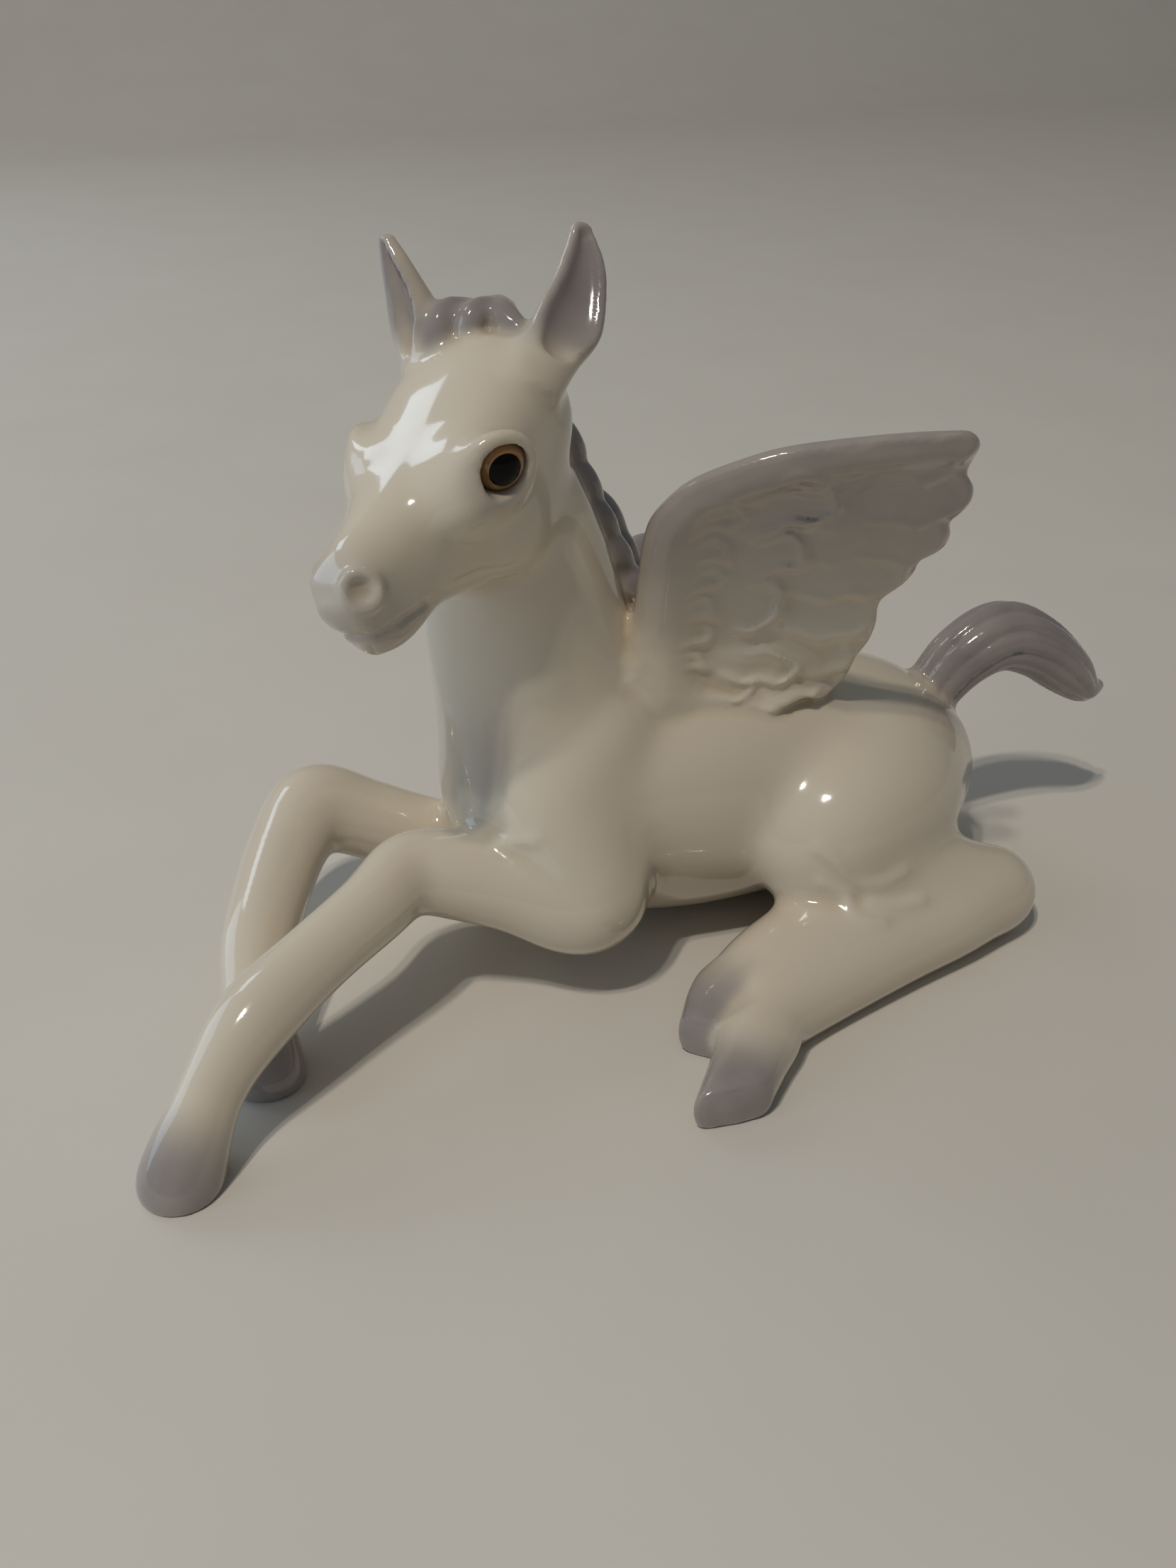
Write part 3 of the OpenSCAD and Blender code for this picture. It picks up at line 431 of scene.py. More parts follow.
# Wings
# Press-moulded sheets with a thick rolled leading edge and shallow feathers on both faces.
# The left wing is raised and the right one is lowered along the flank.
wing_edge = [(0, -6), (-0.7, 10.9), (0.1, 32.5), (0.4, 42.0), (1.5, 48.8), (4.6, 53.0), (10.3, 58.5),
             (21.5, 63.3), (31.5, 66.3), (44.2, 68.0), (56.4, 69.1), (68.7, 69.7), (76.2, 69.8),
             (79.0, 69.0), (81.3, 66.7), (81.7, 63.1), (80.7, 58.1), (83.2, 54.2), (84.1, 51.2),
             (83.7, 48.2), (82.1, 45.2), (79.7, 42.6), (80.8, 39.0), (80.2, 35.0), (77.7, 32.4),
             (74.1, 30.2), (73.5, 26.9), (71.0, 22.5), (65.6, 16.9), (66.0, 9.9), (65.5, 4.6),
             (64.6, 1.5), (62.3, -3.4), (60.7, -10.3), (55.1, -18.5), (50, -18), (45.5, -20.5),
             (41.3, -23.6), (35.9, -21.6), (25.9, -18), (10, -14)]
primaries = [((8, -2), (42, -23.5), 8), ((9, 5), (55, -18), 8), ((10, 13), (62.5, -5), 8.5),
             ((11, 24), (66.5, 9), 9), ((12, 33), (72.5, 25), 9), ((13, 42), (80.5, 36.5), 8.5),
             ((14, 50), (84, 50.5), 8.5), ((14, 57), (81.5, 64.5), 7.5)]
coverts = [((20, 0), (46, -9), 7, 0.2), ((14, -6), (35, -15), 5, 0), ((21, 36), (43, 34), 7, 0.3),
           ((20, 50), (48.5, 51.5), 8.6, 1), ((20, 19.5), (39.5, 17.5), 10, 0.7)]
small = [((7, 44), (24, 49), 4.6, 0), ((7, 35), (23, 38), 4.6, 0), ((7, 26), (21.5, 28), 4.6, 0),
         ((7, 17), (21, 18), 4.6, 0), ((8, 8), (21, 7), 4.6, 0), ((9, 0), (20, -4), 4, 0)]
FEATHER_SOFT, FEATHER_HIDES = 1.4, 0.45
FEATHER_LIP = 1.5
BARB_RISE, BARB_STEP, BARB_SLANT = 0.3, 2.3, 0.06
MAP, LOOSE = 0.5, 1.5


def slide(v, start, end):
    """From 0 at the start to 1 at the end, and level beyond."""
    return np.clip((v - start) / (end - start), 0, 1)


def ramp(v, start, end):
    t = slide(v, start, end)
    return t * t * (3 - 2 * t)


map_u = np.arange(-14, 100, MAP)
map_v = np.arange(-32, 86, MAP)
grid_u, grid_v = np.meshgrid(map_u, map_v, indexing="ij")
ring = through(wing_edge + wing_edge[:1], 3)
outline = np.full(grid_u.shape, 1e9)
inside = np.zeros(grid_u.shape, bool)
for (u0, v0), (u1, v1) in zip(ring[:-1], ring[1:]):
    du, dv = u1 - u0, v1 - v0
    t = np.clip(((grid_u - u0) * du + (grid_v - v0) * dv) / max(du * du + dv * dv, 1e-9), 0, 1)
    outline = np.minimum(outline, np.hypot(grid_u - u0 - t * du, grid_v - v0 - t * dv))
    if v0 != v1:
        inside ^= ((v0 > grid_v) != (v1 > grid_v)) & (grid_u < u0 + (grid_v - v0) * du / dv)
outline = np.where(inside, -outline, outline)
relief = np.zeros(grid_u.shape)
# The feathers were drawn by hand, so their edges sway, and the sheet is a little uneven.
sway_u = grid_u + 1.2 * np.sin(grid_v * 0.33 + 0.7) + 0.6 * np.sin(grid_v * 0.71 + 2)
sway_v = grid_v + 1.1 * np.sin(grid_u * 0.29) + 0.5 * np.sin(grid_u * 0.63 + 1)
for layer, plate, lip in ((primaries, 1.5, 0.45), (coverts, 1.1, 1.4), (small, 0.6, 0.85)):
    for (u0, v0), (u1, v1), half, *barbs in layer:
        du, dv = u1 - u0, v1 - v0
        long = math.hypot(du, dv)
        s = ((sway_u - u0) * du + (sway_v - v0) * dv) / long
        x = ((sway_u - u0) * -dv + (sway_v - v0) * du) / long
        t = np.clip(s, 0, long - half)
        edge = np.hypot(s - t, x) - half
        cover = ramp(edge, FEATHER_SOFT, -FEATHER_SOFT)
        fade = slide(s / long, 0.15, 0.75)
        rise = plate * (0.3 + 0.7 * slide(x, half, -half)) * (0.25 + 0.75 * fade)
        rise = rise + lip * np.exp(-((edge + FEATHER_LIP) / FEATHER_LIP) ** 2) * fade
        if barbs:
            comb = np.cos(2 * math.pi * (x + BARB_SLANT * s) / BARB_STEP)
            rise = rise + BARB_RISE * barbs[0] * comb * fade
            relief = relief * (1 - FEATHER_HIDES * cover) + rise * cover
        else:
            relief = relief * (1 - cover) + rise * cover
relief += 0.2 * np.sin(grid_u * 0.17 + 1) * np.sin(grid_v * 0.21)


def from_map(table, u, v, step=MAP):
    """A map's value at places on the wing's sheet."""
    i = np.clip((u - map_u[0]) / step, 0, table.shape[0] - 1.001)
    j = np.clip((v - map_v[0]) / step, 0, table.shape[1] - 1.001)
    i0, j0 = i.astype(np.int32), j.astype(np.int32)
    fi, fj = i - i0, j - j0
    return ((table[i0, j0] * (1 - fi) + table[i0 + 1, j0] * fi) * (1 - fj)
            + (table[i0, j0 + 1] * (1 - fi) + table[i0 + 1, j0 + 1] * fi) * fj)


def turned(*steps):
    """Three directions, turned by degrees about their own axes in order."""
    total = np.eye(3)
    for axis, degrees in steps:
        c, s = math.cos(math.radians(degrees)), math.sin(math.radians(degrees))
        spin = {"x": [[1, 0, 0], [0, c, -s], [0, s, c]], "z": [[c, -s, 0], [s, c, 0], [0, 0, 1]],
                "flip": [[1, 0, 0], [0, -1, 0], [0, 0, 1]]}[axis]
        total = total @ np.array(spin)
    return total


wing_places = {"left_wing": (np.array([11.0, -12.0, 90.0]), turned(("z", -12), ("x", 105))),
               "right_wing": (np.array([5.0, 20.0, 66.0]),
                              turned(("z", 20), ("flip", 0), ("x", 120), ("z", -38)))}
rolled = [(5, -8, 3.6, 12), (4.6, 10, 3.6, 12), (4.6, 28, 3.6, 12), (4.8, 41, 3.5, 11), (6.8, 48.8, 3.3, 10),
          (12, 55, 3.1, 9), (22, 59.8, 2.9, 9), (32, 62.8, 2.8, 9), (45, 64.7, 2.7, 8), (57, 65.9, 2.6, 7),
          (69, 66.6, 2.5, 6), (77.5, 66.4, 2.4, 5)]
# The left wing bows out above and below its middle and lies on the flank, with its outline drawn
# towards a point in front of it. The right wing is flat.
FRONT = (-63.2, 263.5, 287.7)
RIGHT_SIZE = 0.94
SHEET, EDGE_SOFT = 1.9, 1.5
BOW_AT, BOW_BELOW, BOW_ABOVE = 14, 0.0055, 0.003
FLANK_TOP, NO_FLANK = 22, -12.0
LAP = 3
every = round(LOOSE / MAP)
loose_u, loose_v = np.meshgrid(map_u[::every], map_v[::every], indexing="ij")


def drawn(u, v, w):
    """A place on the outline, drawn towards the point in front by its height off the sheet."""
    pull = w / FRONT[2]
    return u + pull * (FRONT[0] - u), v + pull * (FRONT[1] - v)


for casting, (root, axes) in wing_places.items():
    bowed = casting == "left_wing"
    size = 1.0 if bowed else RIGHT_SIZE
    corners = np.array([root + axes @ (u, v, w) for u in (-6, 90) for v in (-34, 84) for w in (-9, 30)])
    place, (x, y, z) = patch(corners.min(0), corners.max(0))
    x, y, z = (x - root[0]) / size, (y - root[1]) / size, (z - root[2]) / size
    u, v, w = (x * axes[0, n] + y * axes[1, n] + z * axes[2, n] for n in range(3))
    middle = np.zeros(loose_u.shape)
    if bowed:
        bow = (BOW_BELOW * np.maximum(BOW_AT - loose_v, 0) ** 2
               + BOW_ABOVE * np.maximum(loose_v - BOW_AT, 0) ** 2)
        flank = np.full(loose_u.shape, NO_FLANK)
        lay = -0.8 - 1.0 * slide(loose_u, 32, 10)
        for out in np.arange(-8, 28, 0.5):
            at = np.stack([*drawn(loose_u, loose_v, out), np.full(loose_u.shape, out)], -1) @ axes.T + root
            i = np.clip(np.rint((at - LOW) / GRAIN).astype(int), 0, COUNT - 1)
            flank = np.where(clay[i[..., 0], i[..., 1], i[..., 2]] < 0, out + lay, flank)
        flank = np.where(loose_v > FLANK_TOP, NO_FLANK, flank)
        for n in range(6):
            wide = np.pad(flank, 1, mode="edge")
            beside = wide[2:, 1:-1] + wide[:-2, 1:-1] + wide[1:-1, 2:] + wide[1:-1, :-2]
            flank = 0.5 * flank + 0.125 * beside
        clear = np.clip(bow - flank - 1.5, 0, 8)
        bow = bow - 0.6 * clear * slide(loose_v, 5, -13) * slide(loose_u, 40, 54)
        near = np.maximum(LAP - np.abs(bow - flank), 0) / LAP
        middle = np.maximum(bow, flank) + near * near * LAP * FILLET
        u, v = ((a - f) * FRONT[2] / (FRONT[2] - w) + f for a, f in ((u, FRONT[0]), (v, FRONT[1])))
    steep = np.sqrt(1 + sum(g * g for g in np.gradient(middle, LOOSE)))
    w = (w - from_map(middle, u, v, LOOSE)) / from_map(steep, u, v, LOOSE)
    thick = SHEET + from_map(relief, u, v) - 0.4 * slide(u, 40, 85)
    thick = thick * (1 - 0.5 * slide(v, -2, -14) * slide(u, 56, 36))
    near_edge = from_map(outline, u, v) + EDGE_SOFT
    near_face = np.abs(w) - thick + EDGE_SOFT
    gap = (np.minimum(np.maximum(near_edge, near_face), 0)
           + np.hypot(np.maximum(near_edge, 0), np.maximum(near_face, 0)) - EDGE_SOFT)
    merge = 1.6 + 8.0 * slide(u, 30, 8) * slide(v, 24, 0)
    press(casting, place, (gap * size).astype(np.float32), merge.astype(np.float32))
    roll = []
    for u, v, r, blend in rolled:
        out = float(from_map(middle, np.array(u), np.array(v), LOOSE))
        spot = np.array((*drawn(u, v, out), out) if bowed else (u, v, 0)) * size
        roll.append([*(root + axes @ spot), r, blend])
    limb(casting, roll, steps=8)

# Tail
# A rolled coil of clay, luted to the croup and arched behind it. It is combed lengthwise into flowing
# hair and narrows to a tip that turns out.
tail = [(109.8, 0, 48, 8.4, 5), (116.8, 0, 57, 9, 4), (125.9, -0.5, 67, 10.3, 3),
        (138.6, -1, 72, 11.2, 2), (151.3, -2, 67, 10.3, 2), (164, -3, 57, 8.8, 2),
        (172.1, -4, 49.5, 5.3, 2), (178.1, -4, 48.6, 2.3, 2)]
limb("tail", tail, steps=6, locks=9, lock_depth=0.14, lock_turn=2.2)

# Skin
# The pieces are luted, sponged and fired into one glazed surface with no seam to see. The foot is
# ground flat, the skin is drawn round all the clay, and each casting then gets its own share of it.
place, grids = patch(LOW, HIGH)
scoop(place, np.broadcast_to(grids[2], clay.shape), 1.0)
BAND = 4 * GRAIN
volume = openvdb.FloatGrid(BAND)
volume.copyFromArray(np.clip(clay, -BAND, BAND))
points, quads = volume.convertToQuads(isovalue=0.0)
quads = quads.astype(np.int64)


def sides(faces):
    return np.vstack([faces[:, [0, 1]], faces[:, [1, 2]], faces[:, [2, 3]], faces[:, [3, 0]]])


links = np.unique(np.sort(sides(quads), axis=1), axis=0)
valence = np.bincount(links.ravel(), minlength=len(points))[:, None]


def around(values):
    """The mean of what the points next to each point have."""
    total = np.zeros((len(points), values.shape[1]))
    for n in range(values.shape[1]):
        total[:, n] = (np.bincount(links[:, 0], values[links[:, 1], n], len(points))
                       + np.bincount(links[:, 1], values[links[:, 0], n], len(points)))
    return total / valence


def spread(values, times):
    for n in range(times):
        values = 0.5 * values + 0.5 * around(values)
    return values


points = LOW + GRAIN * points.astype(float)
# The pulls go in and out by turns, which evens the skin and keeps its size.
for pull in (0.5, -0.52, 0.5, -0.52, 0.4):
    points = points + pull * (around(points) - points)
cross = np.cross(points[quads[:, 2]] - points[quads[:, 0]], points[quads[:, 3]] - points[quads[:, 1]])
normals = np.zeros_like(points)
for n in range(4):
    for axis in range(3):
        normals[:, axis] += np.bincount(quads[:, n], cross[:, axis], len(points))
normals /= np.linalg.norm(normals, axis=1)[:, None]
spot = np.clip(np.rint((points - LOW) / GRAIN).astype(int), 0, COUNT - 1)
share = np.eye(len(CASTINGS))[owner[spot[:, 0], spot[:, 1], spot[:, 2]]]
whose = spread(share, 8).argmax(1)

# Airbrush, painted shade and glaze
# Lilac-grey colour was blown on the muzzle, ears, hair, wings and hoofs before the clear glaze. On the
# wings the same lilac-grey is also painted shade, deeper towards the top of the left wing and over
# the right wing. The glaze runs thin over ridges and pools with a warm tone in the creases.
offset = points - HEAD_AT
head_a, head_c, head_b = offset @ NOSE, offset @ CHEEK, offset @ CROWN
MUZZLE_TINT, FORELOCK_TINT, WING_TINT_AND_SHADE, CUP_TINT, LID_TINT, HOOF_TINT = 0.42, 0.8, 0.68, 0.75, 0.35, 0.88
is_a = {name: whose == n for n, name in enumerate(CASTINGS)}
tint = np.zeros(len(points))
tint += is_a["head_and_neck"] * MUZZLE_TINT * ramp(head_a, 20, 42)
# Painted shade: the right wing's 0.9 is mostly painted shade over its airbrushed lilac-grey, for the shade it
# lies in behind the neck.
for name, amount in (("left_ear", 0.15), ("right_ear", 0.15), ("forelock", 0.1), ("mane", 0.95),
                     ("tail", 0.9), ("left_wing", 0.05), ("right_wing", 0.9)):
    tint += is_a[name] * amount
tint += is_a["forelock"] * FORELOCK_TINT * ramp(head_b + 0.55 * np.maximum(head_c, 0), 7, 12.5)
# Painted shade: the left wing gets a little airbrushed lilac-grey and more towards its top, which stands for
# the shade on its downward-facing upper half.
root, axes = wing_places["left_wing"]
tint += is_a["left_wing"] * WING_TINT_AND_SHADE * ramp((points - root) @ axes[:, 1], -6, 60)
for name, (root, grow, cup) in cups.items():
    in_cup = ramp(normals @ cup, 0.25, 0.6) * ramp((points - root) @ grow, -0.05, 0.22)
    tint += is_a[name] * CUP_TINT * in_cup
for s in (1, -1):
    tint += LID_TINT * ramp(-np.linalg.norm(points - on_head(-1, 21 * s, -1), axis=1), -12, -7)
for name, hoof, size in (("left_foreleg", (-136, -76, 2), 25), ("right_foreleg", (-108, -45, 3), 24),
                         ("left_hind_leg", (4, -103, 6), 27), ("right_hind_leg", (6, -76, 7), 30)):
    tint += is_a[name] * HOOF_TINT * ramp(-np.linalg.norm(points - hoof, axis=1), -size, -size * 0.35)
tint = np.clip(spread(tint[:, None], 14)[:, 0], 0, 1)
bend = ((around(points) - points) * normals).sum(1)[:, None]
bend = spread(bend, 30)[:, 0]
SHARP = 0.035 * GRAIN
pool = np.clip(bend / SHARP, -1, 1) * (1 - tint)


def linear(code):
    part = [int(code[n:n + 2], 16) / 255 for n in (1, 3, 5)]
    return (*(c / 12.92 if c <= 0.04045 else ((c + 0.055) / 1.055) ** 2.4 for c in part), 1.0)


def add_node(tree, kind, settings=None, **wires):
    node = tree.nodes.new(kind)
    for key, value in (settings or {}).items():
        if isinstance(key, str) and hasattr(node, key):
            setattr(node, key, value)
        else:
            node.inputs[key].default_value = value
    for key, wire in wires.items():
        tree.links.new(wire, node.inputs[int(key[1:]) if key[1:].isdigit() else key])
    return node


# Lead-free clear gloss glaze over white earthenware: a creamy body under a glassy coat. The colour
# clouds as blown colour does, and the glaze lies a little lumpy where it pooled.
PER_METRE = 1000
# The lilac-grey is the blown airbrush colour, and on the wings it is also laid on as painted shade.
CREAM, LILAC_AND_SHADE, POOLED = "#D0C3AE", "#847B79", "#D9C9A6"
CLOUD, RIPPLE, RIPPLE_H = 16.67, 11.11, 0.9
glaze = bpy.data.materials.new("clear_glazed_earthenware")
glaze.use_nodes = True
tree = glaze.node_tree
shader = tree.nodes["Principled BSDF"]
where = add_node(tree, "ShaderNodeTexCoord")
# This attribute holds the airbrushed lilac-grey together with the painted shade on the wings.
blown_and_shaded = add_node(tree, "ShaderNodeAttribute", {"attribute_name": "airbrush"})
pooled = add_node(tree, "ShaderNodeAttribute", {"attribute_name": "pooling"})
cloud = add_node(tree, "ShaderNodeTexNoise", {"Scale": PER_METRE / CLOUD, "Detail": 3.0},
                 Vector=where.outputs["Object"])
patchy = add_node(tree, "ShaderNodeMath", {"operation": "MULTIPLY_ADD", 1: 0.5, 2: -0.25},
                  _0=cloud.outputs["Fac"])
amount = add_node(tree, "ShaderNodeMath", {"operation": "MULTIPLY_ADD", "use_clamp": True},
                  _0=blown_and_shaded.outputs["Fac"], _1=patchy.outputs[0], _2=blown_and_shaded.outputs["Fac"])
colour = add_node(tree, "ShaderNodeMix", {"data_type": "RGBA", 6: linear(CREAM), 7: linear(LILAC_AND_SHADE)},
                  _0=amount.outputs[0])
thickly = add_node(tree, "ShaderNodeMapRange", {"From Min": 0.1, "From Max": 1.0, "To Max": 0.5},
                   Value=pooled.outputs["Fac"])
warm = add_node(tree, "ShaderNodeMix", {"data_type": "RGBA", "blend_type": "MULTIPLY", 7: linear(POOLED)},
                _0=thickly.outputs[0], _6=colour.outputs[2])
tree.links.new(warm.outputs[2], shader.inputs["Base Color"])
ripple = add_node(tree, "ShaderNodeTexNoise", {"Scale": PER_METRE / RIPPLE, "Detail": 2.0},
                  Vector=where.outputs["Object"])
lumps = add_node(tree, "ShaderNodeMapRange", {"From Min": 0.0, "From Max": 0.7, "To Min": 0.1, "To Max": 1.0},
                 Value=pooled.outputs["Fac"])
orange_peel = add_node(tree, "ShaderNodeBump", {"Distance": RIPPLE_H / PER_METRE},
                       Height=ripple.outputs["Fac"], Strength=lumps.outputs[0])
tree.links.new(orange_peel.outputs[0], shader.inputs["Normal"])
shader.inputs["Roughness"].default_value = 0.12
shader.inputs["IOR"].default_value = 1.5
shader.inputs["Coat Weight"].default_value = 0.6
shader.inputs["Coat Roughness"].default_value = 0.03

# Castings
# Each casting gets its own share of the skin as a closed piece. Along a join the skin turns in by a
# lip, and a fan of faces closes the lip inside the clay, where it is never seen.
TO_TABLE = np.array([-18.15, 25.0, 0.0])
TURN_IN = 1.6
corner = whose[quads]
face_whose = np.where(corner[:, 0] == corner[:, 1], corner[:, 0],
                      np.where(corner[:, 1] == corner[:, 2], corner[:, 1], corner[:, 2]))
for number, name in enumerate(CASTINGS):
    skin = quads[face_whose == number]
    used, index = np.unique(skin, return_inverse=True)
    skin = index.reshape(-1, 4)
    verts, norms = points[used], normals[used]
    faces = [tuple(f) for f in skin]
    edges = sides(skin)
    keys = edges[:, 0] * len(used) + edges[:, 1]
    back = edges[:, 1] * len(used) + edges[:, 0]
    after = {}
    for a, b in edges[~np.isin(keys, back)]:
        after.setdefault(int(a), []).append(int(b))
    extra, extra_source = [], []
    while after:
        start = next(iter(after))
        loop, here = [], start
        while here in after:
            loop.append(here)
            nexts = after[here]
            following = nexts.pop()
            if not nexts:
                del after[here]
            here = following
            if here == start:
                break
        first = len(used) + len(extra)
        lip = verts[loop] - norms[loop] * TURN_IN
        extra += [*lip, lip.mean(0)]
        extra_source += [*loop, loop[0]]
        count = len(loop)
        for n in range(count):
            m = (n + 1) % count
            faces.append((loop[m], loop[n], first + n, first + m))
            faces.append((first + m, first + n, first + count))
    mesh = bpy.data.meshes.new(name)
    everything = np.vstack([verts, np.reshape(extra, (-1, 3))])
    mesh.from_pydata(((everything + TO_TABLE) / PER_METRE).tolist(), [], faces)
    source = np.concatenate([np.arange(len(used)), np.array(extra_source, int)])
    for label, values in (("airbrush", tint[used][source]), ("pooling", pool[used][source])):
        mesh.attributes.new(label, "FLOAT", "POINT").data.foreach_set("value", values.astype(np.float32))
    mesh.shade_smooth()
    corner_normals = np.zeros((len(mesh.loops), 3), np.float32)
    corner_normals[:skin.size] = norms[skin].reshape(-1, 3)
    for face in mesh.polygons[len(skin):]:
        corner_normals[face.loop_start:face.loop_start + face.loop_total] = face.normal
    mesh.normals_split_custom_set(corner_normals.tolist())
    piece = bpy.data.objects.new(name + "_casting", mesh)
    bpy.context.collection.objects.link(piece)
    mesh.materials.append(glaze)
    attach(piece, "root")
    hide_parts(name)

# Glass eyes
# Stock lamp-worked animal eyes, set in the sockets after firing: an amber glass dome with a black
# pupil fused in its front.
# Amber glass: a brown rim, a golden middle and streaks, under a polished face. The streaks are drawn
# as coarse as they need to be to show.
INNER, GOLD, RIM = "#7A5426", "#A0753A", "#5E4220"
STREAK = 0.714
amber = bpy.data.materials.new("amber_glass")
amber.use_nodes = True
tree = amber.node_tree
shader = tree.nodes["Principled BSDF"]
where = add_node(tree, "ShaderNodeTexCoord")
ring_place = add_node(tree, "ShaderNodeAttribute", {"attribute_name": "ring_place"})
streaks = add_node(tree, "ShaderNodeTexNoise", {"Scale": PER_METRE / STREAK, "Detail": 2.0},
                   Vector=where.outputs["Object"])
stray = add_node(tree, "ShaderNodeMath", {"operation": "MULTIPLY_ADD", 1: 0.12, 2: -0.06},
                 _0=streaks.outputs["Fac"])
place_in = add_node(tree, "ShaderNodeMath", {"operation": "ADD"}, _0=ring_place.outputs["Fac"],
                    _1=stray.outputs[0])
bands = add_node(tree, "ShaderNodeValToRGB", Fac=place_in.outputs[0])
bands.color_ramp.elements[0].position = 0.66
bands.color_ramp.elements[0].color = linear(INNER)
bands.color_ramp.elements[1].position = 1.0
bands.color_ramp.elements[1].color = linear(RIM)
gold = bands.color_ramp.elements.new(0.8)
gold.color = linear(GOLD)
tree.links.new(bands.outputs["Color"], shader.inputs["Base Color"])
shader.inputs["IOR"].default_value = 1.52
shader.inputs["Roughness"].default_value = 0.05
shader.inputs["Coat Weight"].default_value = 0.6
shader.inputs["Coat Roughness"].default_value = 0.01
# Black enamel: the pupil, near black with a faint bloom, polished with the dome.
INK, INK_BLOOM = "#040303", "#0B0908"
BLOOM = 2.0
black = bpy.data.materials.new("black_enamel")
black.use_nodes = True
tree = black.node_tree
shader = tree.nodes["Principled BSDF"]
where = add_node(tree, "ShaderNodeTexCoord")
bloom = add_node(tree, "ShaderNodeTexNoise", {"Scale": PER_METRE / BLOOM, "Detail": 2.0},
                 Vector=where.outputs["Object"])
ink = add_node(tree, "ShaderNodeMix", {"data_type": "RGBA", 6: linear(INK), 7: linear(INK_BLOOM)},
               _0=bloom.outputs["Fac"])
tree.links.new(ink.outputs[2], shader.inputs["Base Color"])
shader.inputs["Specular IOR Level"].default_value = 0.12
shader.inputs["Roughness"].default_value = 0.03
PUPIL_D, PUPIL_SINK = 8.0, 0.6
GIRDLE = 2.0
GLASS_RINGS, LENS_RINGS = 8, 9
CREASE = math.radians(40)
DOME_R = ((EYE_D / 2) ** 2 + (EYE_T - GIRDLE) ** 2) / (2 * (EYE_T - GIRDLE))


def dome(r):
    return EYE_T - DOME_R + math.sqrt(DOME_R ** 2 - r * r)


brim, edge = EYE_D / 2, PUPIL_D / 2
pocket = dome(edge) - PUPIL_SINK
glass = [(0.0, 0.0), (brim, 0.0), (brim, GIRDLE)]
glass += [(r, dome(r)) for r in np.linspace(brim, edge, GLASS_RINGS)[1:]]
glass += [(edge, pocket), (0.0, pocket)]
lens = [(0.0, pocket), (edge, pocket)]
lens += [(r, dome(r)) for r in np.linspace(edge, 0, LENS_RINGS)]
for word, s in (("left", 1), ("right", -1)):
    look, seat = eye_seat(s)
    side = unit(np.cross(look, UP))
    rise = np.cross(side, look)
    for label, profile, finish, slot in (("eye_glass", glass, amber, "amber_glass"),
                                         ("pupil", lens, black, "black_enamel")):
        turns = [RING if r > 0 else 1 for r, h in profile]
        first = [sum(turns[:n]) for n in range(len(turns))]
        verts, places, faces = [], [], []
        for (r, h), count in zip(profile, turns):
            for n in range(count):
                q = 2 * math.pi * n / RING
                spot = seat + look * h + (side * math.cos(q) + rise * math.sin(q)) * r
                verts.append(tuple((spot + TO_TABLE) / PER_METRE))
                places.append(r / brim)
        for n in range(len(profile) - 1):
            a, b = first[n], first[n + 1]
            for m in range(RING):
                k = (m + 1) % RING
                if turns[n] == 1:
                    faces.append((a, b + k, b + m))
                elif turns[n + 1] == 1:
                    faces.append((a + m, a + k, b))
                else:
                    faces.append((a + m, a + k, b + k, b + m))
        mesh = bpy.data.meshes.new(word + "_" + label)
        mesh.from_pydata(verts, [], faces)
        mesh.attributes.new("ring_place", "FLOAT", "POINT").data.foreach_set("value", places)
        mesh.materials.append(finish)
        piece = bpy.data.objects.new(word + "_" + label + "_set", mesh)
        bpy.context.collection.objects.link(piece)
        bpy.context.view_layer.objects.active = piece
        piece.select_set(True)
        bpy.ops.object.shade_smooth_by_angle(angle=CREASE)
        piece.select_set(False)
        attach(piece, "root")
        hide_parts(word + "_" + label)

# Table, light and camera
# A plain pale table top that sweeps up behind the figure. Three lamp bulbs throw the shadows, two
# windows shine in the glaze, and two soft fills stand for the light of the room and the sky.
TABLE_HALF, TABLE_FRONT, WALL_TOP = 4, -3.0, 3.0
SWEEP_AT, SWEEP_R, SWEEP_STEPS = 1.7, 0.8, 24
sweep = [(TABLE_FRONT, 0.0), (0.0, 0.0)]
for q in np.linspace(0, math.pi / 2, SWEEP_STEPS + 1):
    sweep.append((SWEEP_AT + SWEEP_R * math.sin(q), SWEEP_R - SWEEP_R * math.cos(q)))
sweep.append((SWEEP_AT + SWEEP_R, WALL_TOP))
mesh = bpy.data.meshes.new("table_top")
mesh.from_pydata([(x, y, z) for y, z in sweep for x in (-TABLE_HALF, TABLE_HALF)], [],
                 [(2 * n, 2 * n + 1, 2 * n + 3, 2 * n + 2) for n in range(len(sweep) - 1)])
mesh.shade_smooth()
floor = bpy.data.objects.new("table_top", mesh)
bpy.context.collection.objects.link(floor)
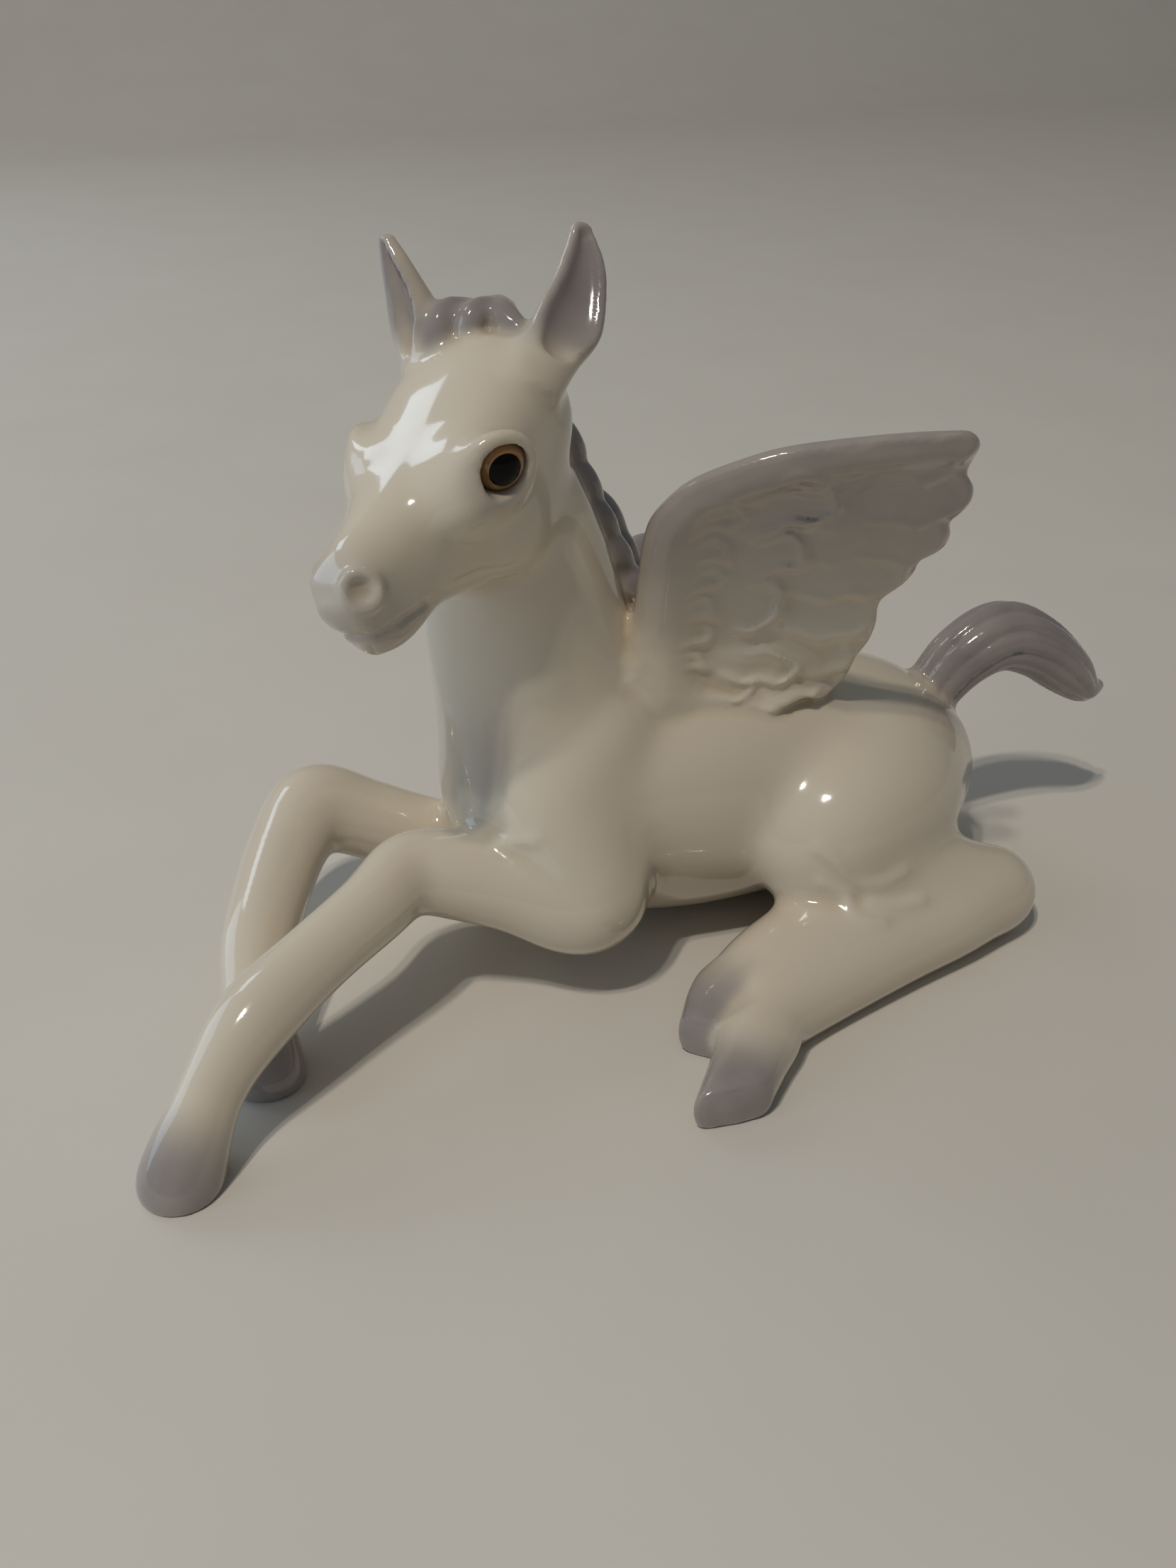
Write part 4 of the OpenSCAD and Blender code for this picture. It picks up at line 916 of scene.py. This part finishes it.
# Pale table paint: a matt, very slightly mottled off-white.
PAINT, PAINT_CLOUD = "#D0C9BE", "#D6D0C5"
MOTTLE = 71.4
table = bpy.data.materials.new("pale_table_paint")
table.use_nodes = True
tree = table.node_tree
shader = tree.nodes["Principled BSDF"]
where = add_node(tree, "ShaderNodeTexCoord")
mottle = add_node(tree, "ShaderNodeTexNoise", {"Scale": PER_METRE / MOTTLE, "Detail": 3.0},
                  Vector=where.outputs["Object"])
paint = add_node(tree, "ShaderNodeMix", {"data_type": "RGBA", 6: linear(PAINT), 7: linear(PAINT_CLOUD)},
                 _0=mottle.outputs["Fac"])
tree.links.new(paint.outputs[2], shader.inputs["Base Color"])
shader.inputs["Roughness"].default_value = 0.5
mesh.materials.append(table)
ROOM_HUE, ROOM_STRENGTH = (0.82, 0.91, 1.0, 1), 0.16
world = bpy.data.worlds.new("room")
bpy.context.scene.world = world
world.use_nodes = True
world.node_tree.nodes["Background"].inputs["Color"].default_value = ROOM_HUE
world.node_tree.nodes["Background"].inputs["Strength"].default_value = ROOM_STRENGTH
BULB_HUE, DAY_HUE, SHADE_HUE, SKY_HUE = (1, 0.94, 0.86), (0.72, 0.85, 1), (0.62, 0.8, 1), (0.5, 0.72, 1)
BULB_SIZE, BULB_POWER = 0.1, 17.2
BODY, FOREHEAD, NECK, BREAST = (0, 0, 0.06), (-0.07, 0, 0.16), (-0.09, 0, 0.14), (-0.09, 0, 0.1)
lights = [("bulb_one", (-1.4, -1.05, 3.1), BODY, BULB_SIZE, BULB_POWER, BULB_HUE),
          ("bulb_two", (-1.12, -1.05, 3.1), BODY, BULB_SIZE, BULB_POWER, BULB_HUE),
          ("bulb_three", (-1.24, -0.85, 3.1), BODY, BULB_SIZE, BULB_POWER, BULB_HUE),
          ("window", (-0.87, 1.12, 1.16), FOREHEAD, 0.36, 1.2, DAY_HUE),
          ("back_fill", (-0.58, 1.43, 0.93), FOREHEAD, 0.62, 2.0, DAY_HUE),
          ("side_window", (-1.46, 0.9, 0.5), NECK, 1.0, 4.0, SHADE_HUE),
          ("sky_fill", (-1.75, -0.25, 0.45), BREAST, 0.8, 6.0, SKY_HUE)]
for name, at, aim, size, power, hue in lights:
    data = bpy.data.lights.new(name, "AREA")
    data.size = size
    data.energy = power
    data.color = hue
    lamp = bpy.data.objects.new(name, data)
    bpy.context.collection.objects.link(lamp)
    lamp.location = at
    lamp.visible_camera = False
    lamp.visible_glossy = not name.endswith("_fill")
    lamp.rotation_euler = (Vector(aim) - Vector(at)).to_track_quat("-Z", "Y").to_euler()
CAMERA_AT = np.array([-122.8, -337.4, 270.0])
CAMERA_DOWN, CAMERA_RIGHT = 32, 20
FOCAL_PIXELS, FRAME_PIXELS, SENSOR = 2000, 2212, 36
camera = bpy.data.objects.new("camera", bpy.data.cameras.new("camera"))
bpy.context.collection.objects.link(camera)
camera.location = (CAMERA_AT + TO_TABLE) / PER_METRE
camera.rotation_euler = (math.radians(90 - CAMERA_DOWN), 0, math.radians(-CAMERA_RIGHT))
camera.data.sensor_width = SENSOR
camera.data.lens = FOCAL_PIXELS / FRAME_PIXELS * SENSOR
bpy.context.scene.camera = camera
bpy.context.scene.view_settings.view_transform = "Standard"
